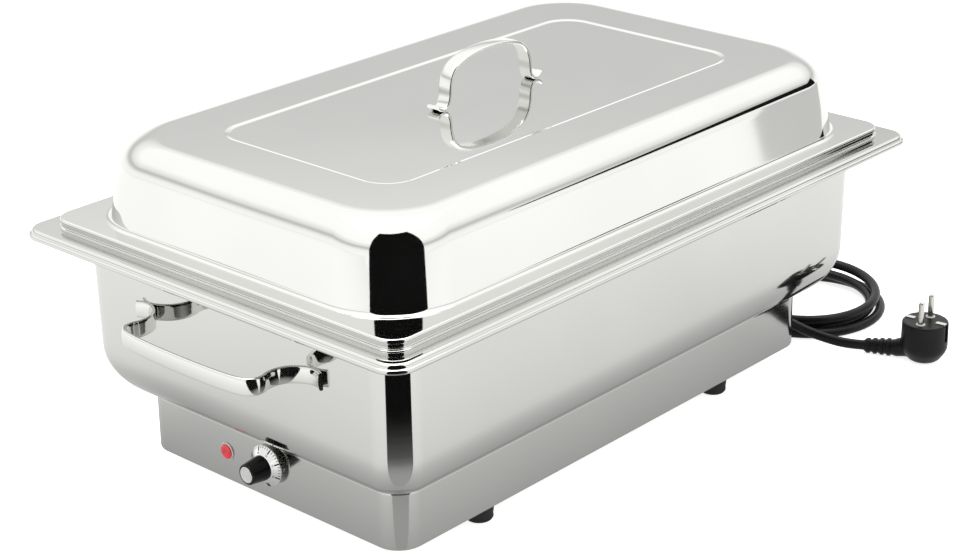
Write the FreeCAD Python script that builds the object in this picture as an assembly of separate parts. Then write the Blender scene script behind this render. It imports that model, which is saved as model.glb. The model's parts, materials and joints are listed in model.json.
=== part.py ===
import FreeCAD, Part

# Electric buffet server for one GN 1/1 food pan: a drawn water basin on a heated base, with a
# domed lid.  Millimetres.  +Z is up, +X points from the control end to the cord end, and the
# origin is on the table under the middle of the body.

import math
import os

from FreeCAD import Vector

X, Y, Z = Vector(1, 0, 0), Vector(0, 1, 0), Vector(0, 0, 1)

# ---------------------------------------------------------------- driving dimensions
GN_DIFFERENCE = 102.5        # half length less half width, shared by every GN 1/1 outline
SHEET = 0.8                  # stainless sheet of lid, pan and housing
BASIN_SHEET = 1.0            # the drawn basin is a little thicker
BODY_GAP = 0.3               # room between pieces that lift apart
LEAST_STEP = 0.01            # least height between two sections of one sheet

FOOT_HEIGHT = 15.0
FOOT_POSITION = (135.0, 111.0)
BASE_HALF = 230.0            # half length of the base housing
BASE_CORNER = 20.0
BASIN_UNDERSIDE = 56.5
SEAM_HEIGHT = 58.8           # where the basin's curve meets the housing
BASIN_WALL_TOP = 257.5       # half length of the basin's outer wall under its rim
BASIN_WALL_FOOT = 256.0      # the same just above the bottom curve
BASIN_CURVE = 41.7           # radius of the bottom curve
BASIN_CORNER = 24.0
RIM_HALF = 283.5             # half length of the basin's rim
RIM_TOP = 186.6
RIM_EDGE = 181.7
RIM_CORNER = 14.7

LID_EDGE = 187.6
LID_CREASE = 195.0
LID_TOP = 253.0
LID_HALF = 270.0
LID_CORNER = 15.8
DOME_FOOT_HALF = 256.4
DOME_SLOPE = 0.16            # inward lean of the dome's wall, millimetres per millimetre
DOME_RADIUS = 22.0
DOME_CORNER = 55.4
PANEL_HALF = 189.0           # the shallow panel pressed into the lid's top
PANEL_CORNER = 24.0
PANEL_DEPTH = 0.7

PAN_HALF = 265.0             # GN 1/1 outer size, 530 by 325
PAN_DEPTH = 65.0
PAN_WALL_TOP = 252.5
PAN_WALL_FOOT = 247.0
PAN_CORNER = 48.0
PAN_CURVE = 16.0
PAN_RIM_TOP = LID_CREASE - SHEET - BODY_GAP

HANDLE_THICKNESS = 2.4
LID_HANDLE_WIDTH = 11.5
CARRY_HANDLE_WIDTH = 12.5
CARRY_HANDLE_HEIGHT = 143.0

KNOB_AXIS = (-3.5, 43.0)     # y and z of the thermostat shaft on the control panel
SKIRT_RADIUS = 14.6
THERMOSTAT_SCREW_OFFSET = 10.5
SKIRT_THICKNESS = 2.2
SKIRT_STANDOFF = 3.0
KNOB_REAR_RADIUS = 10.2
KNOB_FRONT_RADIUS = 7.8
KNOB_LENGTH = 18.5
KNOB_CAP_RADIUS = 6.2
SHAFT_RADIUS = 3.0
RUNNING_CLEARANCE = 0.05
LAMP_AXIS = (41.0, 38.0)

GLAND_AXIS = (40.0, 34.0)    # y and z of the cable entry on the cord end
CORD_RADIUS = 4.0
GLAND_LENGTH = 37.0
STUB_REACH = 13.0            # how far the cord's sheath runs on inside the panel

COIL_CENTRE = Vector(318, -72, 0)
COIL_OUTER = (78.0, 75.0)
COIL_INNER = (52.0, 40.0)
COIL_HEIGHT = 25.0
PLUG_CENTRE = Vector(290, -204, 0)
PLUG_RADIUS = 18.5
PLUG_HEIGHT = 34.0
PIN_RADIUS = 2.4
PIN_LENGTH = 19.0
PIN_SPACING = 19.0
PIN_LINE_ANGLE = 8.0         # degrees from the X axis to the line through both pins
NECK_START_HEIGHT = 7.6
NECK_END_HEIGHT = 12.6

# Route of the cord's centre line from the gland to the coil, and from the coil to the plug.
LEAD_ROUTE = [
    (267, 40, 34), (287, 40, 34), (306, 40.5, 26), (324, 42, 15), (343, 46, 7), (364, 55, 4),
    (379, 71, 4), (386, 92, 4), (383, 114, 4), (370, 132, 4), (351, 143, 4), (329, 145, 4),
    (308, 138, 4), (292, 123, 4), (281, 104, 4), (272, 82, 4), (265, 57, 4), (260, 30, 4),
    (256, 3, 4), (254, -24, 4),
]
TAIL_ROUTE = [(252, -96, 4), (255, -113, 4), (261, -131, 4), (266, -147, 4.6), (272, -161, 6.2)]

# Handle centre lines as (along, away from the wall): tip, weld, neck, shoulder and middle.
LID_HANDLE_BOW = [(56, 4.0), (53, 1.9), (49, 1.15), (45.4, 3.3), (43.4, 9.0), (42.6, 16.5),
                  (39.9, 24.5), (33.0, 31.0), (19.0, 35.2), (0, 36.6)]
CARRY_HANDLE_BOW = [(91, 3.6), (86, 1.4), (79.5, 1.2), (72.5, 4.2), (66.6, 9.4), (63.4, 16.4),
                    (63.0, 24.0), (64.6, 31.0), (63.0, 37.4), (55.0, 41.8), (34.0, 44.2), (0, 45.0)]


# ---------------------------------------------------------------- shared shapes
def rounded_rectangle(half_length, height, corner, difference=GN_DIFFERENCE):
    """Closed wire of four sides and four quarter circles around the Z axis."""
    half_width = half_length - difference
    edges = []
    for turn in range(4):
        long_side = half_length if turn % 2 == 0 else half_width
        short_side = half_width if turn % 2 == 0 else half_length
        angle = math.radians(90 * turn)
        ahead = Vector(math.cos(angle), math.sin(angle), 0)
        left = Vector(-math.sin(angle), math.cos(angle), 0)
        lift = Z * height
        start = ahead * long_side - left * (short_side - corner) + lift
        end = ahead * long_side + left * (short_side - corner) + lift
        centre = ahead * (long_side - corner) + left * (short_side - corner) + lift
        middle = centre + (ahead + left) * (corner * math.sqrt(0.5))
        stop = centre + left * corner
        edges.append(Part.LineSegment(start, end).toShape())
        edges.append(Part.Arc(end, middle, stop).toShape())
    return Part.Wire(edges)


def stack(profile):
    """Solid through rounded rectangles given as (half length, height, corner radius).

    A loft can't join two sections in one plane, so each flat falls by the least step.
    """
    sections, last_height = [], None
    for half_length, height, corner in profile:
        if last_height is not None and abs(height - last_height) < LEAST_STEP:
            height = last_height - LEAST_STEP
        sections.append(rounded_rectangle(half_length, height, corner))
        last_height = height
    return Part.makeLoft(sections, True, True)


def offset_profile(profile, thickness):
    """The profile's other skin: to the right of its direction for a positive thickness."""
    moved = []
    for index, (half, height, corner) in enumerate(profile):
        before = profile[max(index - 1, 0)]
        after = profile[min(index + 1, len(profile) - 1)]
        normals = []
        for first, second in ((before, profile[index]), (profile[index], after)):
            along = Vector(second[0] - first[0], second[1] - first[1], 0)
            if along.Length > 0:
                normals.append(Vector(along.y, -along.x, 0).normalize())
        mean = (normals[0] + normals[-1]).normalize()
        step = mean * (thickness / mean.dot(normals[0]))
        moved.append((half + step.x, height + step.y, max(corner + step.x, 0.5)))
    return moved


def drawn_sheet(profile, thickness):
    """One deep-drawn sheet, from the middle of its flat out to its trimmed edge and back."""
    return stack(profile + offset_profile(profile, thickness)[::-1])


def arc_profile(centre, radius, start, end, corners, steps=8):
    """Profile points on an arc; angles are in degrees from outward, towards up."""
    points = []
    for index in range(steps + 1):
        share = index / steps
        angle = math.radians(start + (end - start) * share)
        corner = corners[0] + (corners[1] - corners[0]) * share
        points.append((centre[0] + radius * math.cos(angle),
                       centre[1] + radius * math.sin(angle), corner))
    return points


def cylinder(radius, length, start, direction=Z):
    return Part.makeCylinder(radius, length, start, direction)


def centred_box(size, centre):
    corner = centre - Vector(size[0] / 2, size[1] / 2, size[2] / 2)
    return Part.makeBox(size[0], size[1], size[2], corner)


def hexagon(across_flats, length, start, direction=Z):
    """Hexagonal prism, as a nut or the grip of a cable gland."""
    radius = across_flats / math.sqrt(3)
    side = direction.cross(X if abs(direction.x) < 0.5 else Y).normalize()
    other = direction.cross(side)
    corners = []
    for index in range(7):
        angle = math.radians(60 * index)
        corners.append(start + side * (radius * math.cos(angle)) + other * (radius * math.sin(angle)))
    return Part.Face(Part.makePolygon(corners)).extrude(direction * length)


def nut(bore_radius, across_flats, length, start, direction=Z):
    hole = cylinder(bore_radius, length + 2, start - direction, direction)
    return hexagon(across_flats, length, start, direction).cut(hole)


def pan_head_screw(radius, length, head, direction):
    """Screw whose head sits on the surface at head and whose shank runs along direction."""
    shank = cylinder(radius, length, head, direction)
    cap = Part.makeCone(radius * 1.9, radius * 1.4, radius * 1.2, head, direction * -1)
    slot = centred_box((radius * 0.5, radius * 4, radius * 0.5), head - direction * (radius * 1.1))
    if abs(direction.z) < 0.5:
        slot = centred_box((radius * 0.5, radius * 0.5, radius * 4), head - direction * (radius * 1.1))
    return shank.fuse(cap).cut(slot).removeSplitter()


def group(solids):
    """Identical loose pieces kept as separate solids of one node."""
    return solids[0] if len(solids) == 1 else Part.makeCompound(solids)


def bent_strip(bow, thickness, width):
    """Flat strip bent to a bow that is symmetric about its middle, in the XZ plane."""
    route = [Vector(along, 0, away) for along, away in bow]
    route += [Vector(-point.x, 0, point.z) for point in route[-2::-1]]
    centre_line = Part.BSplineCurve()
    centre_line.interpolate(route)
    outer, inner = [], []
    samples = 96
    first, last = centre_line.FirstParameter, centre_line.LastParameter
    for index in range(samples + 1):
        parameter = first + (last - first) * index / samples
        point = centre_line.value(parameter)
        side = centre_line.tangent(parameter)[0].cross(Y).normalize() * (thickness / 2)
        outer.append(point + side)
        inner.append(point - side)
    edges = []
    for skin in (outer, inner):
        curve = Part.BSplineCurve()
        curve.interpolate(skin)
        edges.append(curve.toShape())
    edges.append(Part.LineSegment(outer[0], inner[0]).toShape())
    edges.append(Part.LineSegment(outer[-1], inner[-1]).toShape())
    face = Part.Face(Part.Wire(Part.__sortEdges__(edges)))
    strip = face.extrude(Y * width)
    strip.translate(Y * (-width / 2))
    return strip


def cord_tube(name, route):
    """Round tube along straight runs joined by tangent arcs as large as the runs allow."""
    points = [Vector(*point) for point in route]
    edges, radii = [], []
    cursor = points[0]
    for before, here, after in zip(points, points[1:], points[2:]):
        run_in, run_out = here - before, after - here
        turn = run_in.getAngle(run_out)
        reach = 0.45 * min(run_in.Length, run_out.Length)
        radii.append(reach / math.tan(turn / 2))
        into, out = run_in.normalize(), run_out.normalize()
        start, end = here - into * reach, here + out * reach
        inward = (out - into).normalize()
        middle = here + inward * (radii[-1] / math.cos(turn / 2) - radii[-1])
        edges.append(Part.LineSegment(cursor, start).toShape())
        edges.append(Part.Arc(start, middle, end).toShape())
        cursor = end
    edges.append(Part.LineSegment(cursor, points[-1]).toShape())
    path = Part.Wire(edges)
    section = Part.Wire(Part.makeCircle(CORD_RADIUS, points[0], points[1] - points[0]))
    tube = path.makePipeShell([section], True, False)
    expected = math.pi * CORD_RADIUS ** 2 * path.Length
    print(name, "bend radii", [round(radius) for radius in radii],
          "length", round(path.Length), "volume ratio", round(tube.Volume / expected, 4))
    return tube


# ---------------------------------------------------------------- lid
def lid_profile():
    lean = math.degrees(math.atan(DOME_SLOPE))
    rise = LID_TOP - DOME_RADIUS - LID_CREASE
    arc_centre_half = (DOME_FOOT_HALF - DOME_SLOPE * (rise + DOME_RADIUS * math.sin(math.radians(lean)))
                       - DOME_RADIUS * math.cos(math.radians(lean)))
    top_corner = DOME_CORNER - 0.63 * (DOME_FOOT_HALF - arc_centre_half)
    profile = [
        (PANEL_HALF - 3.0, LID_TOP - PANEL_DEPTH, PANEL_CORNER - 3.0),
        (PANEL_HALF, LID_TOP, PANEL_CORNER),
    ]
    profile += arc_profile((arc_centre_half, LID_TOP - DOME_RADIUS), DOME_RADIUS, 90, lean,
                           (top_corner, DOME_CORNER - 4))
    profile += [
        (DOME_FOOT_HALF - DOME_SLOPE * 5, LID_CREASE + 5.0, DOME_CORNER),
        (DOME_FOOT_HALF + 0.6, LID_CREASE + 1.8, DOME_CORNER + 1),
        (DOME_FOOT_HALF + 2.4, LID_CREASE + 0.3, DOME_CORNER + 2),
        (LID_HALF - 1.6, LID_CREASE, LID_CORNER - 1.4),
        (LID_HALF, LID_CREASE - 1.3, LID_CORNER),
        (LID_HALF, LID_CREASE - 2.3, LID_CORNER),
        (LID_HALF - 0.7, LID_CREASE - 3.0, LID_CORNER - 0.7),
        (LID_HALF - 0.7, LID_CREASE - 5.6, LID_CORNER - 0.7),
        (LID_HALF + 0.5, LID_CREASE - 6.3, LID_CORNER + 0.5),
        (LID_HALF + 0.5, LID_EDGE, LID_CORNER + 0.5),
    ]
    return profile


def lid_shell():
    return drawn_sheet(lid_profile(), SHEET)


def lid_handle():
    """Bow of flat strip, spot welded to the middle of the lid."""
    handle = bent_strip(LID_HANDLE_BOW, HANDLE_THICKNESS, LID_HANDLE_WIDTH)
    handle.translate(Z * (LID_TOP - PANEL_DEPTH))
    return handle


# ---------------------------------------------------------------- food pan
def food_pan():
    """GN 1/1 pan, 65 mm deep, hanging by its turned-down rim on the basin's rim."""
    floor = PAN_RIM_TOP - PAN_DEPTH
    profile = arc_profile((PAN_WALL_FOOT - PAN_CURVE, floor + PAN_CURVE), PAN_CURVE, -90, -4,
                          (PAN_CORNER - PAN_CURVE, PAN_CORNER), steps=6)
    underside = PAN_RIM_TOP - SHEET
    profile += [
        (PAN_WALL_TOP, underside - 3.0, PAN_CORNER),
        (PAN_WALL_TOP + 0.9, underside - 0.9, PAN_CORNER),
        (PAN_WALL_TOP + 3.0, underside, PAN_CORNER),
        (PAN_HALF - SHEET - 1.2, underside, 12.0),
        (PAN_HALF - SHEET, underside - 1.2, 12.0),
        (PAN_HALF - SHEET, RIM_TOP + BODY_GAP, 12.0),
    ]
    return drawn_sheet(profile, -SHEET)


# ---------------------------------------------------------------- water basin
def basin_wall_profile():
    """Underside of the basin from its flat bottom up to the top of its wall."""
    arc_centre = (BASIN_WALL_FOOT - BASIN_CURVE, BASIN_UNDERSIDE + BASIN_CURVE)
    seam_angle = -math.degrees(math.asin((arc_centre[1] - SEAM_HEIGHT) / BASIN_CURVE))
    profile = arc_profile(arc_centre, BASIN_CURVE, -90, seam_angle, (BASE_CORNER - 3, BASE_CORNER), steps=2)
    profile += arc_profile(arc_centre, BASIN_CURVE, seam_angle, 0, (BASE_CORNER, BASIN_CORNER))[1:]
    profile.append((BASIN_WALL_TOP, RIM_TOP - BASIN_SHEET - 3.5, BASIN_CORNER))
    return profile


def water_basin():
    underside = RIM_TOP - BASIN_SHEET
    inner_half = RIM_HALF - BASIN_SHEET
    profile = basin_wall_profile() + [
        (BASIN_WALL_TOP + 1.0, underside - 1.0, BASIN_CORNER + 1),
        (BASIN_WALL_TOP + 3.5, underside, BASIN_CORNER + 3),
        (inner_half - 1.8, underside, RIM_CORNER - 2.4),
        (inner_half - 0.4, underside - 0.5, RIM_CORNER - 1.4),
        (inner_half, underside - 1.6, RIM_CORNER - 1),
        (inner_half, underside - 2.4, RIM_CORNER - 1),
        (inner_half + 1.9, underside - 3.0, RIM_CORNER + 1),
        (inner_half + 1.9, RIM_EDGE, RIM_CORNER + 1),
    ]
    return drawn_sheet(profile, -BASIN_SHEET)


def basin_envelope():
    """The basin's outer shape as a full solid, used to trim the housing's top edge."""
    return stack([(half + 0.1, height - 0.1, corner + 0.1) for half, height, corner in basin_wall_profile()])


def carry_handle(side):
    """Bow of flat strip lying level on one end wall; side is -1 or +1 along X."""
    handle = bent_strip(CARRY_HANDLE_BOW, HANDLE_THICKNESS, CARRY_HANDLE_WIDTH)
    handle.rotate(Vector(0, 0, 0), X, -90)
    handle.rotate(Vector(0, 0, 0), Z, 90 if side > 0 else -90)
    handle.rotate(Vector(0, 0, 0), Z, 180)
    height_share = (CARRY_HANDLE_HEIGHT - BASIN_UNDERSIDE - BASIN_CURVE) / (
        RIM_TOP - BASIN_SHEET - 3.5 - BASIN_UNDERSIDE - BASIN_CURVE)
    wall = BASIN_WALL_FOOT + (BASIN_WALL_TOP - BASIN_WALL_FOOT) * height_share
    handle.translate(Vector(side * wall, 0, CARRY_HANDLE_HEIGHT))
    return handle


# ---------------------------------------------------------------- base housing
HOUSING_FLANGE_TOP = FOOT_HEIGHT + 1.8
PLATE_TOP = FOOT_HEIGHT + 1.0
PLATE_SCREWS = [(x, y) for x in (-190, -70, 70, 190) for y in (-121.5, 121.5)]
BRACKET_X = (-100.0, 100.0)


def panel_hole(radius, side, axis):
    return cylinder(radius, 10, Vector(side * (BASE_HALF - 5), axis[0], axis[1]), X * side)


def base_housing():
    """Four-sided band that carries the basin, with an inward flange around its foot."""
    outer = stack([(BASE_HALF, FOOT_HEIGHT, BASE_CORNER), (BASE_HALF, SEAM_HEIGHT + 8, BASE_CORNER)])
    inner_half = BASE_HALF - SHEET
    inner = stack([(inner_half, HOUSING_FLANGE_TOP, BASE_CORNER - SHEET),
                   (inner_half, SEAM_HEIGHT + 9, BASE_CORNER - SHEET)])
    opening = stack([(inner_half - 11, FOOT_HEIGHT - 1, 9), (inner_half - 11, HOUSING_FLANGE_TOP + 1, 9)])
    recess = stack([(inner_half, FOOT_HEIGHT - 1, BASE_CORNER - SHEET),
                    (inner_half, PLATE_TOP, BASE_CORNER - SHEET)])
    housing = outer.cut(inner).cut(opening).cut(recess).cut(basin_envelope())
    housing = housing.cut(panel_hole(5.0, -1, KNOB_AXIS)).cut(panel_hole(4.9, -1, LAMP_AXIS))
    for offset in (-THERMOSTAT_SCREW_OFFSET, THERMOSTAT_SCREW_OFFSET):
        housing = housing.cut(panel_hole(2.1, -1, (KNOB_AXIS[0] + offset, KNOB_AXIS[1])))
    housing = housing.cut(panel_hole(8.1, 1, GLAND_AXIS))
    for x, y in PLATE_SCREWS:
        housing = housing.cut(cylinder(1.6, 6, Vector(x, y, FOOT_HEIGHT - 1)))
    return housing


def bottom_plate():
    """Flat plate inside the housing's foot, with vent slots under the heater."""
    half = BASE_HALF - SHEET - 0.2
    corner = BASE_CORNER - SHEET
    plate = stack([(half, PLATE_TOP - SHEET, corner), (half, PLATE_TOP, corner)])
    for column in range(-4, 5):
        for row in (-48, 0, 48):
            slot = centred_box((4, 30, 6), Vector(column * 22, row, FOOT_HEIGHT))
            plate = plate.cut(slot)
    for x, y in PLATE_SCREWS:
        plate = plate.cut(cylinder(1.8, 6, Vector(x, y, FOOT_HEIGHT - 2)))
    for x in (-1, 1):
        for y in (-1, 1):
            centre = Vector(x * FOOT_POSITION[0], y * FOOT_POSITION[1], FOOT_HEIGHT - 2)
            plate = plate.cut(cylinder(2.2, 6, centre))
    return plate


def plate_screws():
    return group([pan_head_screw(1.5, 6, Vector(x, y, PLATE_TOP - SHEET), Z) for x, y in PLATE_SCREWS])


def foot(x, y):
    """Rubber foot with a sunk hole for its screw."""
    height = PLATE_TOP - SHEET
    body = Part.makeCone(9.6, 11.0, height, Vector(x, y, 0))
    body = body.makeFillet(1.2, [edge for edge in body.Edges if edge.BoundBox.ZMax < 0.1])
    body = body.cut(cylinder(5.0, 8, Vector(x, y, -1)))
    return body.cut(cylinder(2.2, height + 2, Vector(x, y, -1)))


def foot_positions():
    return [(x * FOOT_POSITION[0], y * FOOT_POSITION[1]) for x in (-1, 1) for y in (-1, 1)]


def foot_screws():
    return group([pan_head_screw(2.0, 15, Vector(x, y, 7), Z) for x, y in foot_positions()])


def foot_nuts():
    return group([nut(2.05, 7.0, 3.2, Vector(x, y, PLATE_TOP)) for x, y in foot_positions()])


def housing_brackets():
    """Four Z-shaped brackets, welded under the basin and standing on the housing's flange."""
    top = BASIN_UNDERSIDE
    foot_y = BASE_HALF - SHEET - GN_DIFFERENCE - 0.5
    brackets = []
    for x in BRACKET_X:
        for side in (-1, 1):
            outline = [(foot_y, HOUSING_FLANGE_TOP), (foot_y, HOUSING_FLANGE_TOP + 1.2),
                       (foot_y - 11.8, HOUSING_FLANGE_TOP + 1.2), (foot_y - 11.8, top),
                       (foot_y - 24, top), (foot_y - 24, top - 1.2),
                       (foot_y - 13, top - 1.2), (foot_y - 13, HOUSING_FLANGE_TOP)]
            corners = [Vector(x - 12, side * y, z) for y, z in outline + outline[:1]]
            brackets.append(Part.Face(Part.makePolygon(corners)).extrude(X * 24))
    return group(brackets)


# ---------------------------------------------------------------- heater
HEATER_TUBE_RADIUS = 3.2
HEATER_LEGS = (-54.0, -18.0, 18.0, 54.0)
HEATER_LEG_HALF = 130.0
HEATER_Z = BASIN_UNDERSIDE - 0.1 - HEATER_TUBE_RADIUS
STUDS = [(x, y) for x in (-96.0, 0.0, 96.0) for y in (-36.0, 36.0)]
SHIELD_Z = 36.0


def heating_element():
    """Tubular element: four legs joined by half circles, with two terminal ends."""
    pieces = []
    for leg in HEATER_LEGS:
        start = Vector(-HEATER_LEG_HALF, leg, HEATER_Z)
        pieces.append(cylinder(HEATER_TUBE_RADIUS, 2 * HEATER_LEG_HALF, start, X))
    bends = [(HEATER_LEGS[0], HEATER_LEGS[1], -1), (HEATER_LEGS[1], HEATER_LEGS[2], 1),
             (HEATER_LEGS[2], HEATER_LEGS[3], -1)]
    for first, second, end in bends:
        centre = Vector(end * HEATER_LEG_HALF, (first + second) / 2, HEATER_Z)
        ring = Part.makeTorus((second - first) / 2, HEATER_TUBE_RADIUS, centre, Z)
        half_space = centred_box((60, 80, 20), centre + X * (end * 30))
        pieces.append(ring.common(half_space))
    return pieces[0].multiFuse(pieces[1:]).removeSplitter()


def heater_terminals():
    """Ceramic ends and screw posts where the mains wires join the element."""
    ends = []
    for leg in (HEATER_LEGS[0], HEATER_LEGS[-1]):
        start = Vector(HEATER_LEG_HALF, leg, HEATER_Z)
        ends.append(cylinder(3.0, 8, start, X).fuse(cylinder(1.6, 16, start, X)))
    return group(ends)


def heater_clamps():
    """Three cross straps that press the element against the basin."""
    straps = []
    for x in sorted({stud[0] for stud in STUDS}):
        strap = centred_box((12, 128, 1.2), Vector(x, 0, HEATER_Z - HEATER_TUBE_RADIUS - 0.7))
        for stud_x, stud_y in STUDS:
            if stud_x == x:
                strap = strap.cut(cylinder(2.15, 6, Vector(x, stud_y, 46)))
        straps.append(strap)
    return group(straps)


def weld_studs():
    return group([cylinder(2.0, BASIN_UNDERSIDE - 31, Vector(x, y, 31)) for x, y in STUDS])


def stud_nuts():
    """Two nuts on each stud: one holds the clamp, one holds the heat shield."""
    clamp_under = HEATER_Z - HEATER_TUBE_RADIUS - 1.3
    nuts = []
    for x, y in STUDS:
        nuts.append(nut(2.05, 7.0, 3.0, Vector(x, y, clamp_under - 3.05)))
        nuts.append(nut(2.05, 7.0, 3.0, Vector(x, y, SHIELD_Z - 3.05)))
    return group(nuts)


def insulation_pad():
    """Mineral-fibre pad between the element and the shield, pierced by the studs."""
    pad = centred_box((278, 150, 6), Vector(0, 0, SHIELD_Z + SHEET + 3.1))
    for x, y in STUDS:
        pad = pad.cut(cylinder(5.0, 20, Vector(x, y, 30)))
    return pad


def heat_shield():
    """Shallow steel tray that holds the insulation up under the element."""
    tray = centred_box((282, 154, 8), Vector(0, 0, SHIELD_Z + 4))
    hollow = centred_box((282 - 2 * SHEET, 154 - 2 * SHEET, 8), Vector(0, 0, SHIELD_Z + 4 + SHEET))
    tray = tray.cut(hollow)
    for x, y in STUDS:
        tray = tray.cut(cylinder(2.2, 20, Vector(x, y, 30)))
    return tray


# ---------------------------------------------------------------- thermostat and knob
PANEL_INSIDE = BASE_HALF - SHEET
THERMOSTAT_SIZE = (25.0, 40.0, 23.0)


def on_control_panel(distance):
    """Point on the thermostat's axis at a distance outward from the panel's face."""
    return Vector(-BASE_HALF - distance, KNOB_AXIS[0], KNOB_AXIS[1])


def thermostat_body():
    depth = THERMOSTAT_SIZE[0]
    body = centred_box(THERMOSTAT_SIZE, on_control_panel(-SHEET - depth / 2))
    body = body.makeFillet(1.5, [edge for edge in body.Edges if edge.BoundBox.XLength > depth - 1])
    collar = cylinder(4.7, SHEET + 1.2, on_control_panel(-SHEET), X * -1)
    body = body.fuse(collar)
    bore = cylinder(SHAFT_RADIUS + RUNNING_CLEARANCE, 20, on_control_panel(-16), X * -1)
    body = body.cut(bore)
    for offset in (-THERMOSTAT_SCREW_OFFSET, THERMOSTAT_SCREW_OFFSET):
        body = body.cut(cylinder(1.9, 8, on_control_panel(-SHEET - 7) + Y * offset, X * -1))
    return body.removeSplitter()


def thermostat_screws():
    """Two countersunk screws hidden behind the dial skirt."""
    screws = []
    for offset in (-THERMOSTAT_SCREW_OFFSET, THERMOSTAT_SCREW_OFFSET):
        head = on_control_panel(0.9) + Y * offset
        shank = cylinder(1.85, 7, head, X)
        screws.append(shank.fuse(Part.makeCone(3.2, 2.05, 0.9, head, X)))
    return group(screws)


def thermostat_shaft():
    """Shaft with a flat where the knob grips it, and a shoulder inside the thermostat."""
    shaft = cylinder(SHAFT_RADIUS, 15.5 + SKIRT_STANDOFF + 15, on_control_panel(-15.5), X * -1)
    flat = centred_box((14, 8, 2), on_control_panel(SKIRT_STANDOFF + 9) + Z * (SHAFT_RADIUS + 0.2))
    return shaft.cut(flat)


def thermostat_bulb():
    """Sensing bulb clipped under the basin beside the heater."""
    start = Vector(-150, 84, BASIN_UNDERSIDE - 3.2)
    bulb = cylinder(3.0, 95, start, X)
    return bulb.fuse(Part.makeSphere(3.0, start)).fuse(Part.makeSphere(3.0, start + X * 95))


def capillary_tube():
    """Thin copper tube from the thermostat to the bulb."""
    start = Vector(-200, 8, 48)
    corner = Vector(-176, 60, 48)
    end = Vector(-152, 84, BASIN_UNDERSIDE - 3.2)
    pieces = [Part.makeSphere(0.8, corner)]
    for first, second in ((start, corner), (corner, end)):
        pieces.append(cylinder(0.8, (second - first).Length, first, second - first))
    reach = Vector(-204.4, 8, 48)
    pieces.append(cylinder(0.8, (start - reach).Length, reach, start - reach))
    return pieces[0].multiFuse(pieces[1:])


def bulb_clips():
    clips = []
    for x in (-130, -75):
        centre = Vector(x, 84, BASIN_UNDERSIDE - 3.2)
        ring = cylinder(4.0, 8, centre - X * 4, X).cut(cylinder(3.05, 10, centre - X * 5, X))
        tab = centred_box((8, 6, 0.8), centre + Vector(0, 6.2, 1.0))
        heel = centred_box((8, 0.8, 2.6), centre + Vector(0, 8.8, 1.8))
        ring = ring.cut(centred_box((12, 12, 4), centre + Z * 5))
        clips.append(ring.fuse(tab).fuse(heel).removeSplitter())
    return group(clips)


def dial_skirt():
    """Round graduated plate behind the knob, pressed on the same shaft."""
    rear = on_control_panel(SKIRT_STANDOFF)
    disc = cylinder(SKIRT_RADIUS - 0.8, SKIRT_THICKNESS, rear, X * -1)
    rim = cylinder(SKIRT_RADIUS, 1.2, rear, X * -1)
    bevel = Part.makeCone(SKIRT_RADIUS, SKIRT_RADIUS - 0.8, SKIRT_THICKNESS - 1.2, rear - X * 1.2, X * -1)
    skirt = disc.fuse(rim).fuse(bevel).removeSplitter()
    return skirt.cut(cylinder(SHAFT_RADIUS + 0.02, 8, rear + X * 2, X * -1))


def knob_body():
    """Tapered black grip with a blind bore for the shaft and a seat for the cap."""
    rear = on_control_panel(SKIRT_STANDOFF + SKIRT_THICKNESS + 0.05)
    grip = Part.makeCone(KNOB_REAR_RADIUS, KNOB_FRONT_RADIUS, KNOB_LENGTH, rear, X * -1)
    front_edge = [edge for edge in grip.Edges if edge.BoundBox.XMax < rear.x - KNOB_LENGTH + 0.1]
    grip = grip.makeFillet(0.8, front_edge)
    grip = grip.cut(cylinder(SHAFT_RADIUS + 0.02, 13.5, rear, X * -1))
    return grip.cut(cylinder(KNOB_CAP_RADIUS + 0.02, 2, rear - X * (KNOB_LENGTH - 0.8), X * -1))


def knob_cap():
    rear = on_control_panel(SKIRT_STANDOFF + SKIRT_THICKNESS + 0.05 + KNOB_LENGTH - 0.8)
    return cylinder(KNOB_CAP_RADIUS, 1.1, rear, X * -1)


# ---------------------------------------------------------------- pilot lamp
def lamp_point(distance):
    return Vector(-BASE_HALF - distance, LAMP_AXIS[0], LAMP_AXIS[1])


def pilot_lamp_bezel():
    ring = cylinder(6.9, 1.0, lamp_point(0), X * -1)
    return ring.cut(cylinder(5.0, 3, lamp_point(-1), X * -1))


def pilot_lamp_lens():
    """Red lens: a low dome in front, a shank through the panel behind."""
    shank = cylinder(4.7, 11, lamp_point(-10), X * -1)
    sphere_radius = 12.0
    rise = 1.9
    dome = Part.makeSphere(sphere_radius, lamp_point(1.0 + rise - sphere_radius))
    slab = centred_box((4, 14, 14), lamp_point(3.0))
    dome = dome.common(slab).common(cylinder(5.8, 8, lamp_point(0), X * -1))
    return shank.fuse(dome).removeSplitter()


def pilot_lamp_body():
    """Lamp holder behind the panel, with the two wire tabs."""
    body = cylinder(6.5, 13, lamp_point(-SHEET - 13), X * -1)
    body = body.cut(cylinder(4.75, 30, lamp_point(-10.1), X * -1))
    for offset in (-2.5, 2.5):
        tab = centred_box((7, 0.8, 3), lamp_point(-SHEET - 13 - 3.4) + Y * offset)
        body = body.fuse(tab)
    return body


# ---------------------------------------------------------------- wiring
def thermal_cutout():
    """Safety cut-out against the basin: it opens if the basin boils dry."""
    base = Vector(-40, -84, BASIN_UNDERSIDE - 0.1)
    disc = cylinder(8.5, 8, base, Z * -1).fuse(cylinder(6.5, 11, base, Z * -1))
    for side in (-1, 1):
        disc = disc.fuse(centred_box((6, 3.0, 0.8), base + Vector(side * 8.5, 0, -10)))
    return disc


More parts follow.
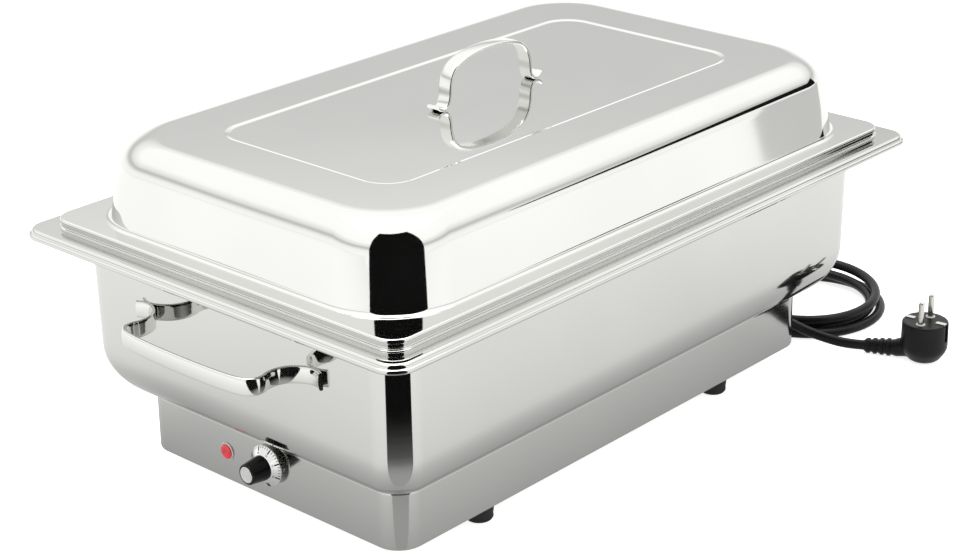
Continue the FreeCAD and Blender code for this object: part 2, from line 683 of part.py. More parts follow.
def cutout_bracket():
    base = Vector(-40, -84, BASIN_UNDERSIDE - 0.1)
    strap = centred_box((34, 18, 0.8), base - Z * 8.5)
    strap = strap.cut(cylinder(6.7, 30, base - Z * 20))
    for side in (-1, 1):
        leg = centred_box((0.8, 18, 8.1), base + Vector(side * 16.6, 0, -4.05))
        strap = strap.fuse(leg)
    return strap


TERMINAL_CENTRE = Vector(196, 74, PLATE_TOP + 9)


def terminal_block():
    """Three-pole block where the mains cord ends."""
    block = centred_box((18, 34, 16), TERMINAL_CENTRE)
    for pole in (-10, 0, 10):
        block = block.cut(cylinder(2.3, 30, TERMINAL_CENTRE + Vector(-15, pole, 1), X))
        block = block.cut(cylinder(1.9, 9, TERMINAL_CENTRE + Vector(0, pole, 1)))
    for end in (-14.6, 14.6):
        block = block.cut(cylinder(1.3, 30, TERMINAL_CENTRE + Vector(5, end, -15)))
    return block


def terminal_screws():
    screws = []
    for pole in (-10, 0, 10):
        screws.append(cylinder(1.8, 4, TERMINAL_CENTRE + Vector(0, pole, 2)))
    for end in (-14.6, 14.6):
        screws.append(cylinder(1.25, 18, TERMINAL_CENTRE + Vector(5, end, -9)))
    return group(screws)


def earth_stud():
    """Threaded stud welded under the basin, where the earth wires meet."""
    return cylinder(2.5, 16, Vector(184, 20, BASIN_UNDERSIDE - 16))


def earth_nuts():
    return group([nut(2.55, 8.0, 3.6, Vector(184, 20, height)) for height in (42.4, 46.9)])


def wire(points):
    """One insulated wire as straight lengths with round elbows."""
    route = [Vector(*point) for point in points]
    pieces = [Part.makeSphere(1.3, point) for point in route[1:-1]]
    for first, second in zip(route, route[1:]):
        pieces.append(cylinder(1.3, (second - first).Length, first, second - first))
    return pieces[0].multiFuse(pieces[1:])


def internal_wires():
    """Cord cores to the terminal block, and the leads on to the controls and the heater."""
    entry = BASE_HALF - STUB_REACH - 0.1
    routes = [
        [(entry, 38, 34), (entry - 2, 38, 34), (210, 46, 31), (209, 58, 27.5), (206.5, 64, 26)],
        [(entry, 40, 36), (entry - 2, 40, 36), (211, 52, 33), (211, 66, 29.5), (206.5, 74, 26)],
        [(entry, 42, 34), (entry - 2, 42, 34), (214.5, 54, 31), (214.5, 74, 28.5), (206.5, 84, 26)],
        [(185.5, 64, 26), (160, 96, 28), (-160, 96, 28), (-190, 30, 30), (-203, 6, 36)],
        [(185.5, 74, 26), (178, 70, 34), (160, 56, 44), (149, 54, 53.2)],
        [(185.5, 84, 26), (168, 92, 22), (-150, 90, 22), (-206, 44, 24), (-215, 41, 35)],
        [(-203, -16, 36), (-190, -70, 34), (-150, -90, 34), (-60, -90, 38), (-52, -84, 44)],
        [(-28, -84, 44), (-10, -90, 36), (150, -90, 38), (156, -64, 46), (149, -54, 53.2)],
    ]
    return group([wire(points) for points in routes])


# ---------------------------------------------------------------- cable entry, cord and plug
def gland_point(distance):
    return Vector(BASE_HALF + distance, GLAND_AXIS[0], GLAND_AXIS[1])


def cable_gland():
    """Threaded gland with a hexagon, a domed nut and a tapered bend-relief sleeve."""
    body = cylinder(8.0, 10, gland_point(-9), X)
    body = body.fuse(hexagon(21, 4, gland_point(0), X))
    body = body.fuse(Part.makeCone(10.2, 8.4, 8, gland_point(4), X))
    body = body.fuse(Part.makeCone(7.2, 5.2, GLAND_LENGTH - 12, gland_point(12), X))
    bore = cylinder(CORD_RADIUS + 0.05, 70, gland_point(-20), X)
    return body.cut(bore).removeSplitter()


def gland_locknut():
    return nut(8.05, 21.0, 4.0, gland_point(-SHEET - 4.0), X)


def gland_cord_stub():
    """The end of the cord inside the gland, where its cores fan out."""
    return cylinder(CORD_RADIUS, GLAND_LENGTH + STUB_REACH, gland_point(-STUB_REACH), X)


def ellipse_wire(radii, centre):
    ellipse = Part.Ellipse(centre, radii[0], radii[1])
    return Part.Wire(ellipse.toShape())


def power_cord_coil():
    """Outer shape of the loose coil: an oval ring lying on the table."""
    outer = Part.Face(ellipse_wire(COIL_OUTER, COIL_CENTRE)).extrude(Z * COIL_HEIGHT)
    inner = Part.Face(ellipse_wire(COIL_INNER, COIL_CENTRE)).extrude(Z * COIL_HEIGHT)
    return outer.cut(inner)


def towards_cord():
    """Unit vector from the plug towards its cord."""
    direction = Vector(*TAIL_ROUTE[-1]) - PLUG_CENTRE
    direction.z = 0
    return direction.normalize()


def along_pins():
    """Unit vector along the line through both pins."""
    angle = math.radians(PIN_LINE_ANGLE)
    return Vector(math.cos(angle), math.sin(angle), 0)


def neck_start():
    return PLUG_CENTRE + towards_cord() * (PLUG_RADIUS + 3) + Z * NECK_START_HEIGHT


def plug_strain_relief():
    """Ribbed taper where the cord enters the plug."""
    start = Vector(*TAIL_ROUTE[-1])
    end = neck_start()
    axis = end - start
    sleeve = Part.makeCone(4.9, 7.0, axis.Length, start, axis)
    for rib in range(4):
        position = start + axis * (0.05 + 0.25 * rib)
        sleeve = sleeve.fuse(cylinder(5.9 + 0.5 * rib, axis.Length * 0.13, position, axis))
    table = Part.makeBox(200, 200, 20, Vector(180, -300, -20))
    return sleeve.cut(table)


def plug_body():
    """Angled plug lying on its back with its round face up."""
    body = cylinder(PLUG_RADIUS, PLUG_HEIGHT, PLUG_CENTRE)
    body = body.makeFillet(10.0, [edge for edge in body.Edges if edge.BoundBox.ZMax < 0.1])
    axis = PLUG_CENTRE + Z * NECK_END_HEIGHT - neck_start()
    body = body.fuse(Part.makeCone(7.2, 12.4, axis.Length, neck_start(), axis))
    for side in (-1, 1):
        pin_foot = PLUG_CENTRE + along_pins() * (side * PIN_SPACING / 2) + Z * (PLUG_HEIGHT - 8)
        body = body.cut(cylinder(PIN_RADIUS + 0.05, 20, pin_foot))
    return body.removeSplitter()


def plug_pins():
    pins = []
    for side in (-1, 1):
        foot_point = PLUG_CENTRE + along_pins() * (side * PIN_SPACING / 2) + Z * (PLUG_HEIGHT - 8)
        pin = cylinder(PIN_RADIUS, PIN_LENGTH + 8, foot_point)
        tip_edge = [edge for edge in pin.Edges if edge.BoundBox.ZMin > foot_point.z + 20]
        pins.append(pin.makeFillet(1.2, tip_edge))
    return group(pins)


def plug_earth_contacts():
    """Earth strips at the face's edge, on the two sides away from the pins."""
    strips = []
    for turn in (90, 270):
        strip = centred_box((8, 5.0, 0.8), Vector(PLUG_RADIUS - 4.2, 0, PLUG_HEIGHT + 0.4))
        strip.rotate(Vector(0, 0, 0), Z, PIN_LINE_ANGLE + turn)
        strip.translate(PLUG_CENTRE)
        strips.append(strip)
    return group(strips)


# ---------------------------------------------------------------- export
def parts():
    nodes = {
        "lid_shell": lid_shell(), "lid_handle": lid_handle(), "food_pan": food_pan(),
        "water_basin": water_basin(),
        "carry_handle_control_end": carry_handle(-1), "carry_handle_cord_end": carry_handle(1),
        "base_housing": base_housing(), "bottom_plate": bottom_plate(), "plate_screws": plate_screws(),
        "foot_screws": foot_screws(), "foot_nuts": foot_nuts(), "housing_brackets": housing_brackets(),
        "heating_element": heating_element(), "heater_terminals": heater_terminals(),
        "heater_clamps": heater_clamps(), "weld_studs": weld_studs(), "stud_nuts": stud_nuts(),
        "insulation_pad": insulation_pad(), "heat_shield": heat_shield(),
        "thermostat_body": thermostat_body(), "thermostat_screws": thermostat_screws(),
        "thermostat_shaft": thermostat_shaft(), "thermostat_bulb": thermostat_bulb(),
        "capillary_tube": capillary_tube(), "bulb_clips": bulb_clips(),
        "dial_skirt": dial_skirt(), "knob_body": knob_body(), "knob_cap": knob_cap(),
        "pilot_lamp_bezel": pilot_lamp_bezel(), "pilot_lamp_lens": pilot_lamp_lens(),
        "pilot_lamp_body": pilot_lamp_body(), "thermal_cutout": thermal_cutout(),
        "cutout_bracket": cutout_bracket(), "terminal_block": terminal_block(),
        "terminal_screws": terminal_screws(), "earth_stud": earth_stud(), "earth_nuts": earth_nuts(),
        "internal_wires": internal_wires(), "cable_gland": cable_gland(),
        "gland_locknut": gland_locknut(), "gland_cord_stub": gland_cord_stub(),
        "power_cord_lead": cord_tube("power_cord_lead", LEAD_ROUTE),
        "power_cord_coil": power_cord_coil(),
        "power_cord_tail": cord_tube("power_cord_tail", TAIL_ROUTE),
        "plug_strain_relief": plug_strain_relief(), "plug_body": plug_body(),
        "plug_pins": plug_pins(), "plug_earth_contacts": plug_earth_contacts(),
    }
    for number, (x, y) in enumerate(foot_positions(), start=1):
        nodes["foot_%d" % number] = foot(x, y)
    return nodes


def main():
    os.makedirs("parts", exist_ok=True)
    for name, shape in parts().items():
        solids = len(shape.Solids)
        print("%-26s solids %2d valid %s volume %.0f" % (name, solids, shape.isValid(), shape.Volume))
        shape.exportStep("parts/%s.step" % name)


main()
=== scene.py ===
"""Looks of the electric buffet server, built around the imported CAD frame.  Metres, +Z up."""

import json
import math

import bmesh
import bpy
from mathutils import Matrix, Vector

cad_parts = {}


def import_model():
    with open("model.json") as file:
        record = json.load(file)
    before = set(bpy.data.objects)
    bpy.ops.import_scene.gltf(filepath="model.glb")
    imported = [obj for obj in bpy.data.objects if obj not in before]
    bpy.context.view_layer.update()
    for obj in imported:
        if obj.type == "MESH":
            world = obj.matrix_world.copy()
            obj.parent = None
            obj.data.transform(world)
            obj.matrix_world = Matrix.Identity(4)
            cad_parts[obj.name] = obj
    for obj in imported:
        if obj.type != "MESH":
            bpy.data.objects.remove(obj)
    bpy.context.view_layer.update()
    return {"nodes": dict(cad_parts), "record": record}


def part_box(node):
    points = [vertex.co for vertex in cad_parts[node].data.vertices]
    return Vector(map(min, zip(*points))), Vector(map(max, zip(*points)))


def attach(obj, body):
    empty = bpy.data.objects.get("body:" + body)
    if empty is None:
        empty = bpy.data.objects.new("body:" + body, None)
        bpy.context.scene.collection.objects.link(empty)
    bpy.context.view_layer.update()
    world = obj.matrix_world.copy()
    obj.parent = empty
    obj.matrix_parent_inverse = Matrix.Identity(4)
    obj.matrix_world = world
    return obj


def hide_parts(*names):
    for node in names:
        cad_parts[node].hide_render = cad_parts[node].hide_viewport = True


MM = 0.001
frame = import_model()
scene = bpy.context.scene


def link(name, data):
    """A new object with this data, in the scene."""
    item = bpy.data.objects.new(name, data)
    scene.collection.objects.link(item)
    return item


# ---------------------------------------------------------------- camera
CAMERA_PLACE = Vector((-1.1567, -1.0530, 0.7600))
CAMERA_AZIMUTH = math.radians(-47.725)
CAMERA_ELEVATION = math.radians(22.576)
CAMERA_ROLL = math.radians(-0.752)
CAMERA_LENS = 83.11


def add_camera():
    data = bpy.data.cameras.new("camera")
    data.lens = CAMERA_LENS
    data.sensor_width = 36.0
    data.clip_end = 50.0
    camera = link("camera", data)
    azimuth, elevation, roll = CAMERA_AZIMUTH, CAMERA_ELEVATION, CAMERA_ROLL
    back = Vector((math.sin(azimuth) * math.cos(elevation),
                   -math.cos(azimuth) * math.cos(elevation), math.sin(elevation)))
    level = Vector((math.cos(azimuth), math.sin(azimuth), 0))
    upright = back.cross(level)
    right = level * math.cos(roll) + upright * math.sin(roll)
    up = upright * math.cos(roll) - level * math.sin(roll)
    turn = Matrix((right, up, back)).transposed()
    camera.matrix_world = Matrix.Translation(CAMERA_PLACE) @ turn.to_4x4()
    scene.camera = camera


add_camera()


# ---------------------------------------------------------------- materials
def new_material(name, color, metallic, roughness):
    material = bpy.data.materials.new(name)
    material.use_nodes = True
    shader = material.node_tree.nodes["Principled BSDF"]
    shader.inputs["Base Color"].default_value = (*color, 1)
    shader.inputs["Metallic"].default_value = metallic
    shader.inputs["Roughness"].default_value = roughness
    return material, material.node_tree, shader


def object_place(tree):
    return tree.nodes.new("ShaderNodeTexCoord").outputs["Object"]


def noise(tree, scale, detail=2.0, stretch=(1, 1, 1)):
    """Noise in object space, stretched along the axes with a small factor."""
    mapping = tree.nodes.new("ShaderNodeMapping")
    mapping.inputs["Scale"].default_value = stretch
    texture = tree.nodes.new("ShaderNodeTexNoise")
    texture.inputs["Scale"].default_value = scale
    texture.inputs["Detail"].default_value = detail
    tree.links.new(object_place(tree), mapping.inputs["Vector"])
    tree.links.new(mapping.outputs["Vector"], texture.inputs["Vector"])
    return texture.outputs["Fac"]


def spread(tree, value, low, high, source=(0.3, 0.7)):
    """Maps a noise value onto a range."""
    node = tree.nodes.new("ShaderNodeMapRange")
    node.inputs["From Min"].default_value = source[0]
    node.inputs["From Max"].default_value = source[1]
    node.inputs["To Min"].default_value = low
    node.inputs["To Max"].default_value = high
    tree.links.new(value, node.inputs["Value"])
    return node.outputs["Result"]


def reckon(tree, kind, operation, value, other=None):
    """Math or VectorMath node on a socket and, if given, another socket or a constant."""
    node = tree.nodes.new("ShaderNode" + kind)
    node.operation = operation
    tree.links.new(value, node.inputs[0])
    if isinstance(other, bpy.types.NodeSocket):
        tree.links.new(other, node.inputs[1])
    elif other is not None:
        node.inputs[1].default_value = other
    return node


def mix_color(tree, factor, first, second):
    node = tree.nodes.new("ShaderNodeMix")
    node.data_type = "RGBA"
    node.inputs["A"].default_value = (*first, 1)
    node.inputs["B"].default_value = (*second, 1)
    tree.links.new(factor, node.inputs["Factor"])
    return node.outputs["Result"]


def add_bump(tree, shader, height, strength, distance):
    """Adds one bump layer in front of those already there."""
    bump = tree.nodes.new("ShaderNodeBump")
    bump.inputs["Strength"].default_value = strength
    bump.inputs["Distance"].default_value = distance
    tree.links.new(height, bump.inputs["Height"])
    normal = shader.inputs["Normal"]
    if normal.is_linked:
        tree.links.new(normal.links[0].from_socket, bump.inputs["Normal"])
    tree.links.new(bump.outputs["Normal"], normal)


def steel(name, color, roughness, grain, grain_strength, waviness):
    """Stainless steel: slight colour drift, fine polishing lines and a faint waviness of the sheet."""
    material, tree, shader = new_material(name, color, 1.0, roughness[0])
    darker = [channel * 0.965 for channel in color]
    tree.links.new(mix_color(tree, spread(tree, noise(tree, 9), 0, 1), color, darker),
                   shader.inputs["Base Color"])
    tree.links.new(spread(tree, noise(tree, 26, 3, grain), *roughness), shader.inputs["Roughness"])
    add_bump(tree, shader, noise(tree, 7, 1), waviness, 0.004)
    add_bump(tree, shader, noise(tree, 420, 2, grain), grain_strength, 0.0002)
    return material


def plain(name, color, metallic, roughness, bump_scale, bump_strength, tint=0.85):
    """Moulded or cast material: slight mottling and a fine surface texture."""
    material, tree, shader = new_material(name, color, metallic, roughness)
    if max(color) < 0.03:
        shader.inputs["Specular IOR Level"].default_value = 0.22
    tinted = [channel * tint for channel in color]
    tree.links.new(mix_color(tree, spread(tree, noise(tree, 60, 3), 0, 1), color, tinted),
                   shader.inputs["Base Color"])
    tree.links.new(spread(tree, noise(tree, 140, 2), roughness * 0.88, min(roughness * 1.15, 1)),
                   shader.inputs["Roughness"])
    add_bump(tree, shader, noise(tree, bump_scale, 3), bump_strength, 0.0002)
    return material


def satin_steel():
    """Steel of the basin and the base: duller in the deep-drawn foot than higher up."""
    material = steel("satin_steel", (0.655, 0.655, 0.64), (0.10, 0.13), (0.05, 0.05, 1), 0.05, 0.010)
    tree = material.node_tree
    shader = tree.nodes["Principled BSDF"]
    shader.inputs["Anisotropic"].default_value = 0.3
    parts = tree.nodes.new("ShaderNodeSeparateXYZ")
    tree.links.new(object_place(tree), parts.inputs["Vector"])
    by_height = spread(tree, parts.outputs["Z"], 0.11, 0.045, (0.055, 0.10))
    smear = spread(tree, noise(tree, 30, 3, (0.2, 0.2, 1)), 0.85, 1.2)
    product = reckon(tree, "Math", "MULTIPLY", by_height, smear)
    tree.links.new(product.outputs["Value"], shader.inputs["Roughness"])
    return material


def lens_red():
    material, tree, shader = new_material("lamp_red", (0.60, 0.012, 0.03), 0.0, 0.16)
    shader.inputs["Coat Weight"].default_value = 0.6
    shader.inputs["Subsurface Weight"].default_value = 0.15
    shader.inputs["Subsurface Radius"].default_value = (0.004, 0.0005, 0.0005)
    tree.links.new(mix_color(tree, spread(tree, noise(tree, 300, 2), 0, 1), (0.62, 0.012, 0.03),
                             (0.42, 0.004, 0.012)), shader.inputs["Base Color"])
    add_bump(tree, shader, noise(tree, 900, 1), 0.08, 0.0003)
    return material


def turned_metal():
    """Spun aluminium of the dial skirt and the knob's disc: fine rings about the shaft."""
    material, tree, shader = new_material("dial_metal", (0.82, 0.82, 0.81), 1.0, 0.22)
    shift = tree.nodes.new("ShaderNodeMapping")
    low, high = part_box("knob_cap")
    middle = (low + high) / 2
    shift.inputs["Location"].default_value = (0, -middle.y, -middle.z)
    shift.inputs["Scale"].default_value = (0, 1, 1)
    rings = tree.nodes.new("ShaderNodeTexWave")
    rings.wave_type = "RINGS"
    rings.rings_direction = "SPHERICAL"
    rings.inputs["Scale"].default_value = 900
    rings.inputs["Distortion"].default_value = 0.6
    tree.links.new(object_place(tree), shift.inputs["Vector"])
    tree.links.new(shift.outputs["Vector"], rings.inputs["Vector"])
    add_bump(tree, shader, rings.outputs["Fac"], 0.25, 0.00005)
    tree.links.new(spread(tree, noise(tree, 200, 2), 0.16, 0.30), shader.inputs["Roughness"])
    return material


MATERIALS = {
    "polished_steel": steel("polished_steel", (0.73, 0.73, 0.715), (0.035, 0.06), (0.04, 1, 1), 0.03, 0.012),
    "handle_steel": steel("handle_steel", (0.72, 0.72, 0.70), (0.05, 0.10), (1, 0.05, 1), 0.05, 0.02),
    "pan_steel": steel("pan_steel", (0.70, 0.70, 0.685), (0.12, 0.18), (0.05, 1, 1), 0.08, 0.02),
    "satin_steel": satin_steel(),
    "plain_steel": steel("plain_steel", (0.62, 0.62, 0.61), (0.28, 0.38), (0.05, 1, 1), 0.15, 0.02),
    "zinc_fastener": steel("zinc_fastener", (0.66, 0.67, 0.69), (0.28, 0.36), (1, 1, 1), 0.15, 0.0),
    "foot_rubber": plain("foot_rubber", (0.018, 0.018, 0.018), 0.0, 0.55, 1800, 0.3),
    "heater_sheath": steel("heater_sheath", (0.34, 0.33, 0.32), (0.4, 0.5), (1, 1, 1), 0.2, 0.0),
    "ceramic": plain("ceramic", (0.85, 0.83, 0.78), 0.0, 0.6, 900, 0.2, 0.93),
    "mineral_fibre": plain("mineral_fibre", (0.80, 0.78, 0.72), 0.0, 0.9, 500, 0.8, 0.85),
    "beige_plastic": plain("beige_plastic", (0.70, 0.66, 0.56), 0.0, 0.45, 1200, 0.1, 0.93),
    "shaft_steel": steel("shaft_steel", (0.62, 0.62, 0.61), (0.2, 0.3), (0.05, 1, 1), 0.1, 0.0),
    "copper": plain("copper", (0.72, 0.40, 0.25), 1.0, 0.3, 900, 0.05, 0.85),
    "dial_metal": turned_metal(),
    "knob_black": plain("knob_black", (0.005, 0.005, 0.0055), 0.0, 0.22, 2200, 0.06, 0.8),
    "lamp_bezel": plain("lamp_bezel", (0.50, 0.44, 0.43), 0.6, 0.25, 900, 0.03, 0.95),
    "lamp_red": lens_red(),
    "brass": plain("brass", (0.78, 0.60, 0.30), 1.0, 0.3, 900, 0.05, 0.85),
    "wire_insulation": plain("wire_insulation", (0.16, 0.16, 0.22), 0.0, 0.5, 900, 0.1),
    "gland_black": plain("gland_black", (0.014, 0.014, 0.014), 0.0, 0.4, 1500, 0.12),
    "cord_black": plain("cord_black", (0.0055, 0.0055, 0.006), 0.0, 0.30, 1500, 0.10, 0.7),
    "plug_black": plain("plug_black", (0.0055, 0.0055, 0.006), 0.0, 0.33, 1600, 0.16, 0.7),
    "pin_nickel": plain("pin_nickel", (0.76, 0.74, 0.70), 1.0, 0.18, 900, 0.03, 0.92),
}
DIAL_INK = plain("dial_ink", (0.006, 0.006, 0.006), 0.0, 0.5, 1500, 0.05, 0.8)
CONTACT_GREY = plain("contact_grey", (0.55, 0.54, 0.50), 0.0, 0.4, 1500, 0.05, 0.9)


def paint_cad_nodes():
    for row in frame["record"]["subparts"]:
        node = frame["nodes"][row["node"]]
        node.data.materials.clear()
        node.data.materials.append(MATERIALS[row["material_slot"]])


paint_cad_nodes()


# ---------------------------------------------------------------- mesh helpers
def object_from(name, builder):
    """Turns a bmesh into an object, with its faces turned outward, and frees the bmesh."""
    bmesh.ops.recalc_face_normals(builder, faces=builder.faces)
    mesh = bpy.data.meshes.new(name)
    builder.to_mesh(mesh)
    builder.free()
    return link(name, mesh)


def evaluated_mesh(item):
    """The object's mesh with its modifiers applied."""
    return bpy.data.meshes.new_from_object(item.evaluated_get(bpy.context.evaluated_depsgraph_get()))


def finish_piece(name, builder, body, slot, replaced, smooth_angle=50):
    """Turns a bmesh into a piece with smooth shading, its material, body and replaced nodes."""
    piece = object_from(name, builder)
    mesh = piece.data
    mesh.materials.append(MATERIALS[slot])
    mesh.set_sharp_from_angle(angle=math.radians(smooth_angle))
    for polygon in mesh.polygons:
        polygon.use_smooth = True
    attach(piece, body)
    if replaced:
        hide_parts(*replaced)
    return piece


def weigh_normals(piece):
    """Large flat faces keep flat normals, so that their reflections stay straight."""
    modifier = piece.modifiers.new("weighted_normals", "WEIGHTED_NORMAL")
    modifier.keep_sharp = True
    modifier.weight = 100


def bridge(builder, first, second):
    """Faces between two closed rings of as many vertices."""
    for index in range(len(first)):
        following = (index + 1) % len(first)
        builder.faces.new((first[index], first[following], second[following], second[index]))


def rounded_profile(points, steps=6):
    """Polyline of (out, up, radius) with its corners rounded by arcs."""
    line = [Vector(points[0][:2])]
    for before, here, after in zip(points, points[1:], points[2:]):
        corner, radius = Vector(here[:2]), here[2]
        into = (corner - Vector(before[:2])).normalized()
        out = (Vector(after[:2]) - corner).normalized()
        turn = into.angle(out)
        if radius <= 0 or turn < 0.01:
            line.append(corner)
            continue
        reach = radius * math.tan(turn / 2)
        centre = corner + (out - into).normalized() * (radius / math.cos(turn / 2))
        start = corner - into * reach - centre
        side = 1 if into.x * out.y - into.y * out.x > 0 else -1
        for step in range(steps + 1):
            angle = side * turn * step / steps
            turned = Vector((start.x * math.cos(angle) - start.y * math.sin(angle),
                             start.x * math.sin(angle) + start.y * math.cos(angle)))
            line.append(centre + turned)
    line.append(Vector(points[-1][:2]))
    return line


def rounded_ring(half, difference, corner, height, crown=0.0, corner_steps=18, side_steps=10):
    """Points of a rounded rectangle; crown is how far each long side bows outward."""
    width = half - difference
    points = []
    for turn in range(4):
        long_side, short_side = (half, width) if turn % 2 == 0 else (width, half)
        angle = math.radians(90 * turn)
        ahead = Vector((math.cos(angle), math.sin(angle), 0))
        left = Vector((-math.sin(angle), math.cos(angle), 0))
        reach = short_side - corner
        for step in range(side_steps):
            share = 2 * step / side_steps - 1
            bow = crown * (1 - share * share) ** 2
            points.append(ahead * (long_side + bow) + left * (reach * share))
        centre = ahead * (long_side - corner) + left * reach
        for step in range(corner_steps):
            swing = math.radians(90 * step / corner_steps)
            points.append(centre + (ahead * math.cos(swing) + left * math.sin(swing)) * corner)
    return [point + Vector((0, 0, height)) for point in points]


GN_DIFFERENCE = 102.5 * MM


def drawn_skin(sections, crown=0.0, crown_range=(0, 0), capped=True):
    """One skin through rounded rectangles (half length, height, corner radius), closed by its first."""
    builder = bmesh.new()
    rings = []
    middle = (crown_range[0] + crown_range[1]) / 2
    span = max((crown_range[1] - crown_range[0]) / 2, 1e-6)
    for half, height, corner in sections:
        level = max(0.0, 1 - ((height - middle) / span) ** 2)
        points = rounded_ring(half, GN_DIFFERENCE, corner, height, crown * level)
        rings.append([builder.verts.new(point) for point in points])
    for first, second in zip(rings, rings[1:]):
        bridge(builder, first, second)
    if capped:
        builder.faces.new(rings[0])
    return builder


def sheet_piece(node, builder, thickness, outward, body, slot):
    """Pressed sheet: the skin thickened away from the side that shows."""
    piece = finish_piece(node + "_skin", builder, body, slot, [node])
    solid = piece.modifiers.new("sheet", "SOLIDIFY")
    solid.thickness = thickness
    solid.offset = -1 if outward else 1
    solid.use_even_offset = True
    weigh_normals(piece)


def hold(sections):
    """Adds a section close to both ends of each long flat, so that shading stays flat between."""
    longest_gap = 6 * MM
    result = [sections[0]]
    for before, after in zip(sections, sections[1:]):
        gap = math.hypot(after[0] - before[0], after[1] - before[1])
        if gap > longest_gap:
            for part in (0.06, 0.94):
                result.append(tuple(a + (b - a) * part for a, b in zip(before, after)))
        result.append(after)
    return result


# ---------------------------------------------------------------- power cord
CORD_DIAMETER = 8.0 * MM
# The lead leaves the gland, sinks to the table and runs round behind the part to the coil.
LEAD_ROUTE = [
    (0.267, 0.040, 0.034), (0.286, 0.040, 0.0333), (0.306, 0.0405, 0.0275), (0.325, 0.042, 0.0175),
    (0.344, 0.046, 0.0085), (0.364, 0.055, 0.004), (0.379, 0.071, 0.004), (0.386, 0.092, 0.004),
    (0.383, 0.114, 0.004), (0.370, 0.132, 0.004), (0.351, 0.143, 0.004), (0.329, 0.145, 0.004),
    (0.308, 0.138, 0.004), (0.292, 0.123, 0.004), (0.281, 0.104, 0.004), (0.272, 0.082, 0.004),
    (0.265, 0.057, 0.004), (0.260, 0.030, 0.004), (0.256, 0.003, 0.004), (0.254, -0.024, 0.004),
]
# The tail comes down from the coil's top strand and rises a little into the plug's neck.
TAIL_ROUTE = [
    (0.252, -0.096, 0.0163), (0.255, -0.113, 0.0115), (0.261, -0.131, 0.0073),
    (0.266, -0.147, 0.0054), (0.272, -0.161, 0.0062),
]
COIL_START = 157.0           # degrees about the coil's middle, counter-clockwise
COIL_END = 3 * 360.0 + 187.0
COIL_POINTS_PER_TURN = 15
# At each whole turn: middle x, middle y, half length, half width and height of the centre line.
COIL_TURNS = [
    (0.3190, -0.0720, 0.0690, 0.0670, 0.0040),
    (0.3150, -0.0730, 0.0560, 0.0540, 0.0050),
    (0.3130, -0.0700, 0.0580, 0.0600, 0.0130),
    (0.3190, -0.0710, 0.0660, 0.0640, 0.0190),
    (0.3150, -0.0730, 0.0680, 0.0640, 0.0060),
]


def coil_route():
    """Loose turns on the table, each with its own size, from the lead round to the tail."""
    points = []
    count = round((COIL_END - COIL_START) / 360 * COIL_POINTS_PER_TURN)
    for index in range(count + 1):
        degrees = COIL_START + (COIL_END - COIL_START) * index / count
        turn = (degrees - COIL_START) / 360
        first = min(int(turn), len(COIL_TURNS) - 2)
        share = turn - first
        blend = share * share * (3 - 2 * share)
        here = [a + (b - a) * blend for a, b in zip(COIL_TURNS[first], COIL_TURNS[first + 1])]
        angle = math.radians(degrees)
        points.append((here[0] + here[2] * math.cos(angle), here[1] + here[3] * math.sin(angle), here[4]))
    return points


def power_cord():
    curve = bpy.data.curves.new("power_cord", "CURVE")
    curve.dimensions = "3D"
    route = LEAD_ROUTE + coil_route() + TAIL_ROUTE
    spline = curve.splines.new("NURBS")
    spline.points.add(len(route) - 1)
    for point, place in zip(spline.points, route):
        point.co = (*place, 1)
    spline.order_u = 3
    spline.use_endpoint_u = True
    spline.resolution_u = 10
    curve.bevel_depth = CORD_DIAMETER / 2
    curve.bevel_resolution = 8
    curve.use_fill_caps = True
    curve.materials.append(MATERIALS["cord_black"])
    cord = link("power_cord", curve)
    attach(cord, "body")
    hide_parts("power_cord_lead", "power_cord_coil", "power_cord_tail")
    return cord


cord = power_cord()


# ---------------------------------------------------------------- lid
LID_TOP, LID_CREASE, LID_EDGE = 253.0 * MM, 195.0 * MM, 187.6 * MM
LID_HALF, LID_CORNER = 270.0 * MM, 15.8 * MM
DOME_FOOT_HALF, DOME_CORNER, DOME_RADIUS, DOME_SLOPE = 256.4 * MM, 55.4 * MM, 22.0 * MM, 0.16
PANEL_HALF, PANEL_CORNER, PANEL_DEPTH = 189.0 * MM, 24.0 * MM, 0.7 * MM
SHEET, BASIN_SHEET = 0.8 * MM, 1.0 * MM


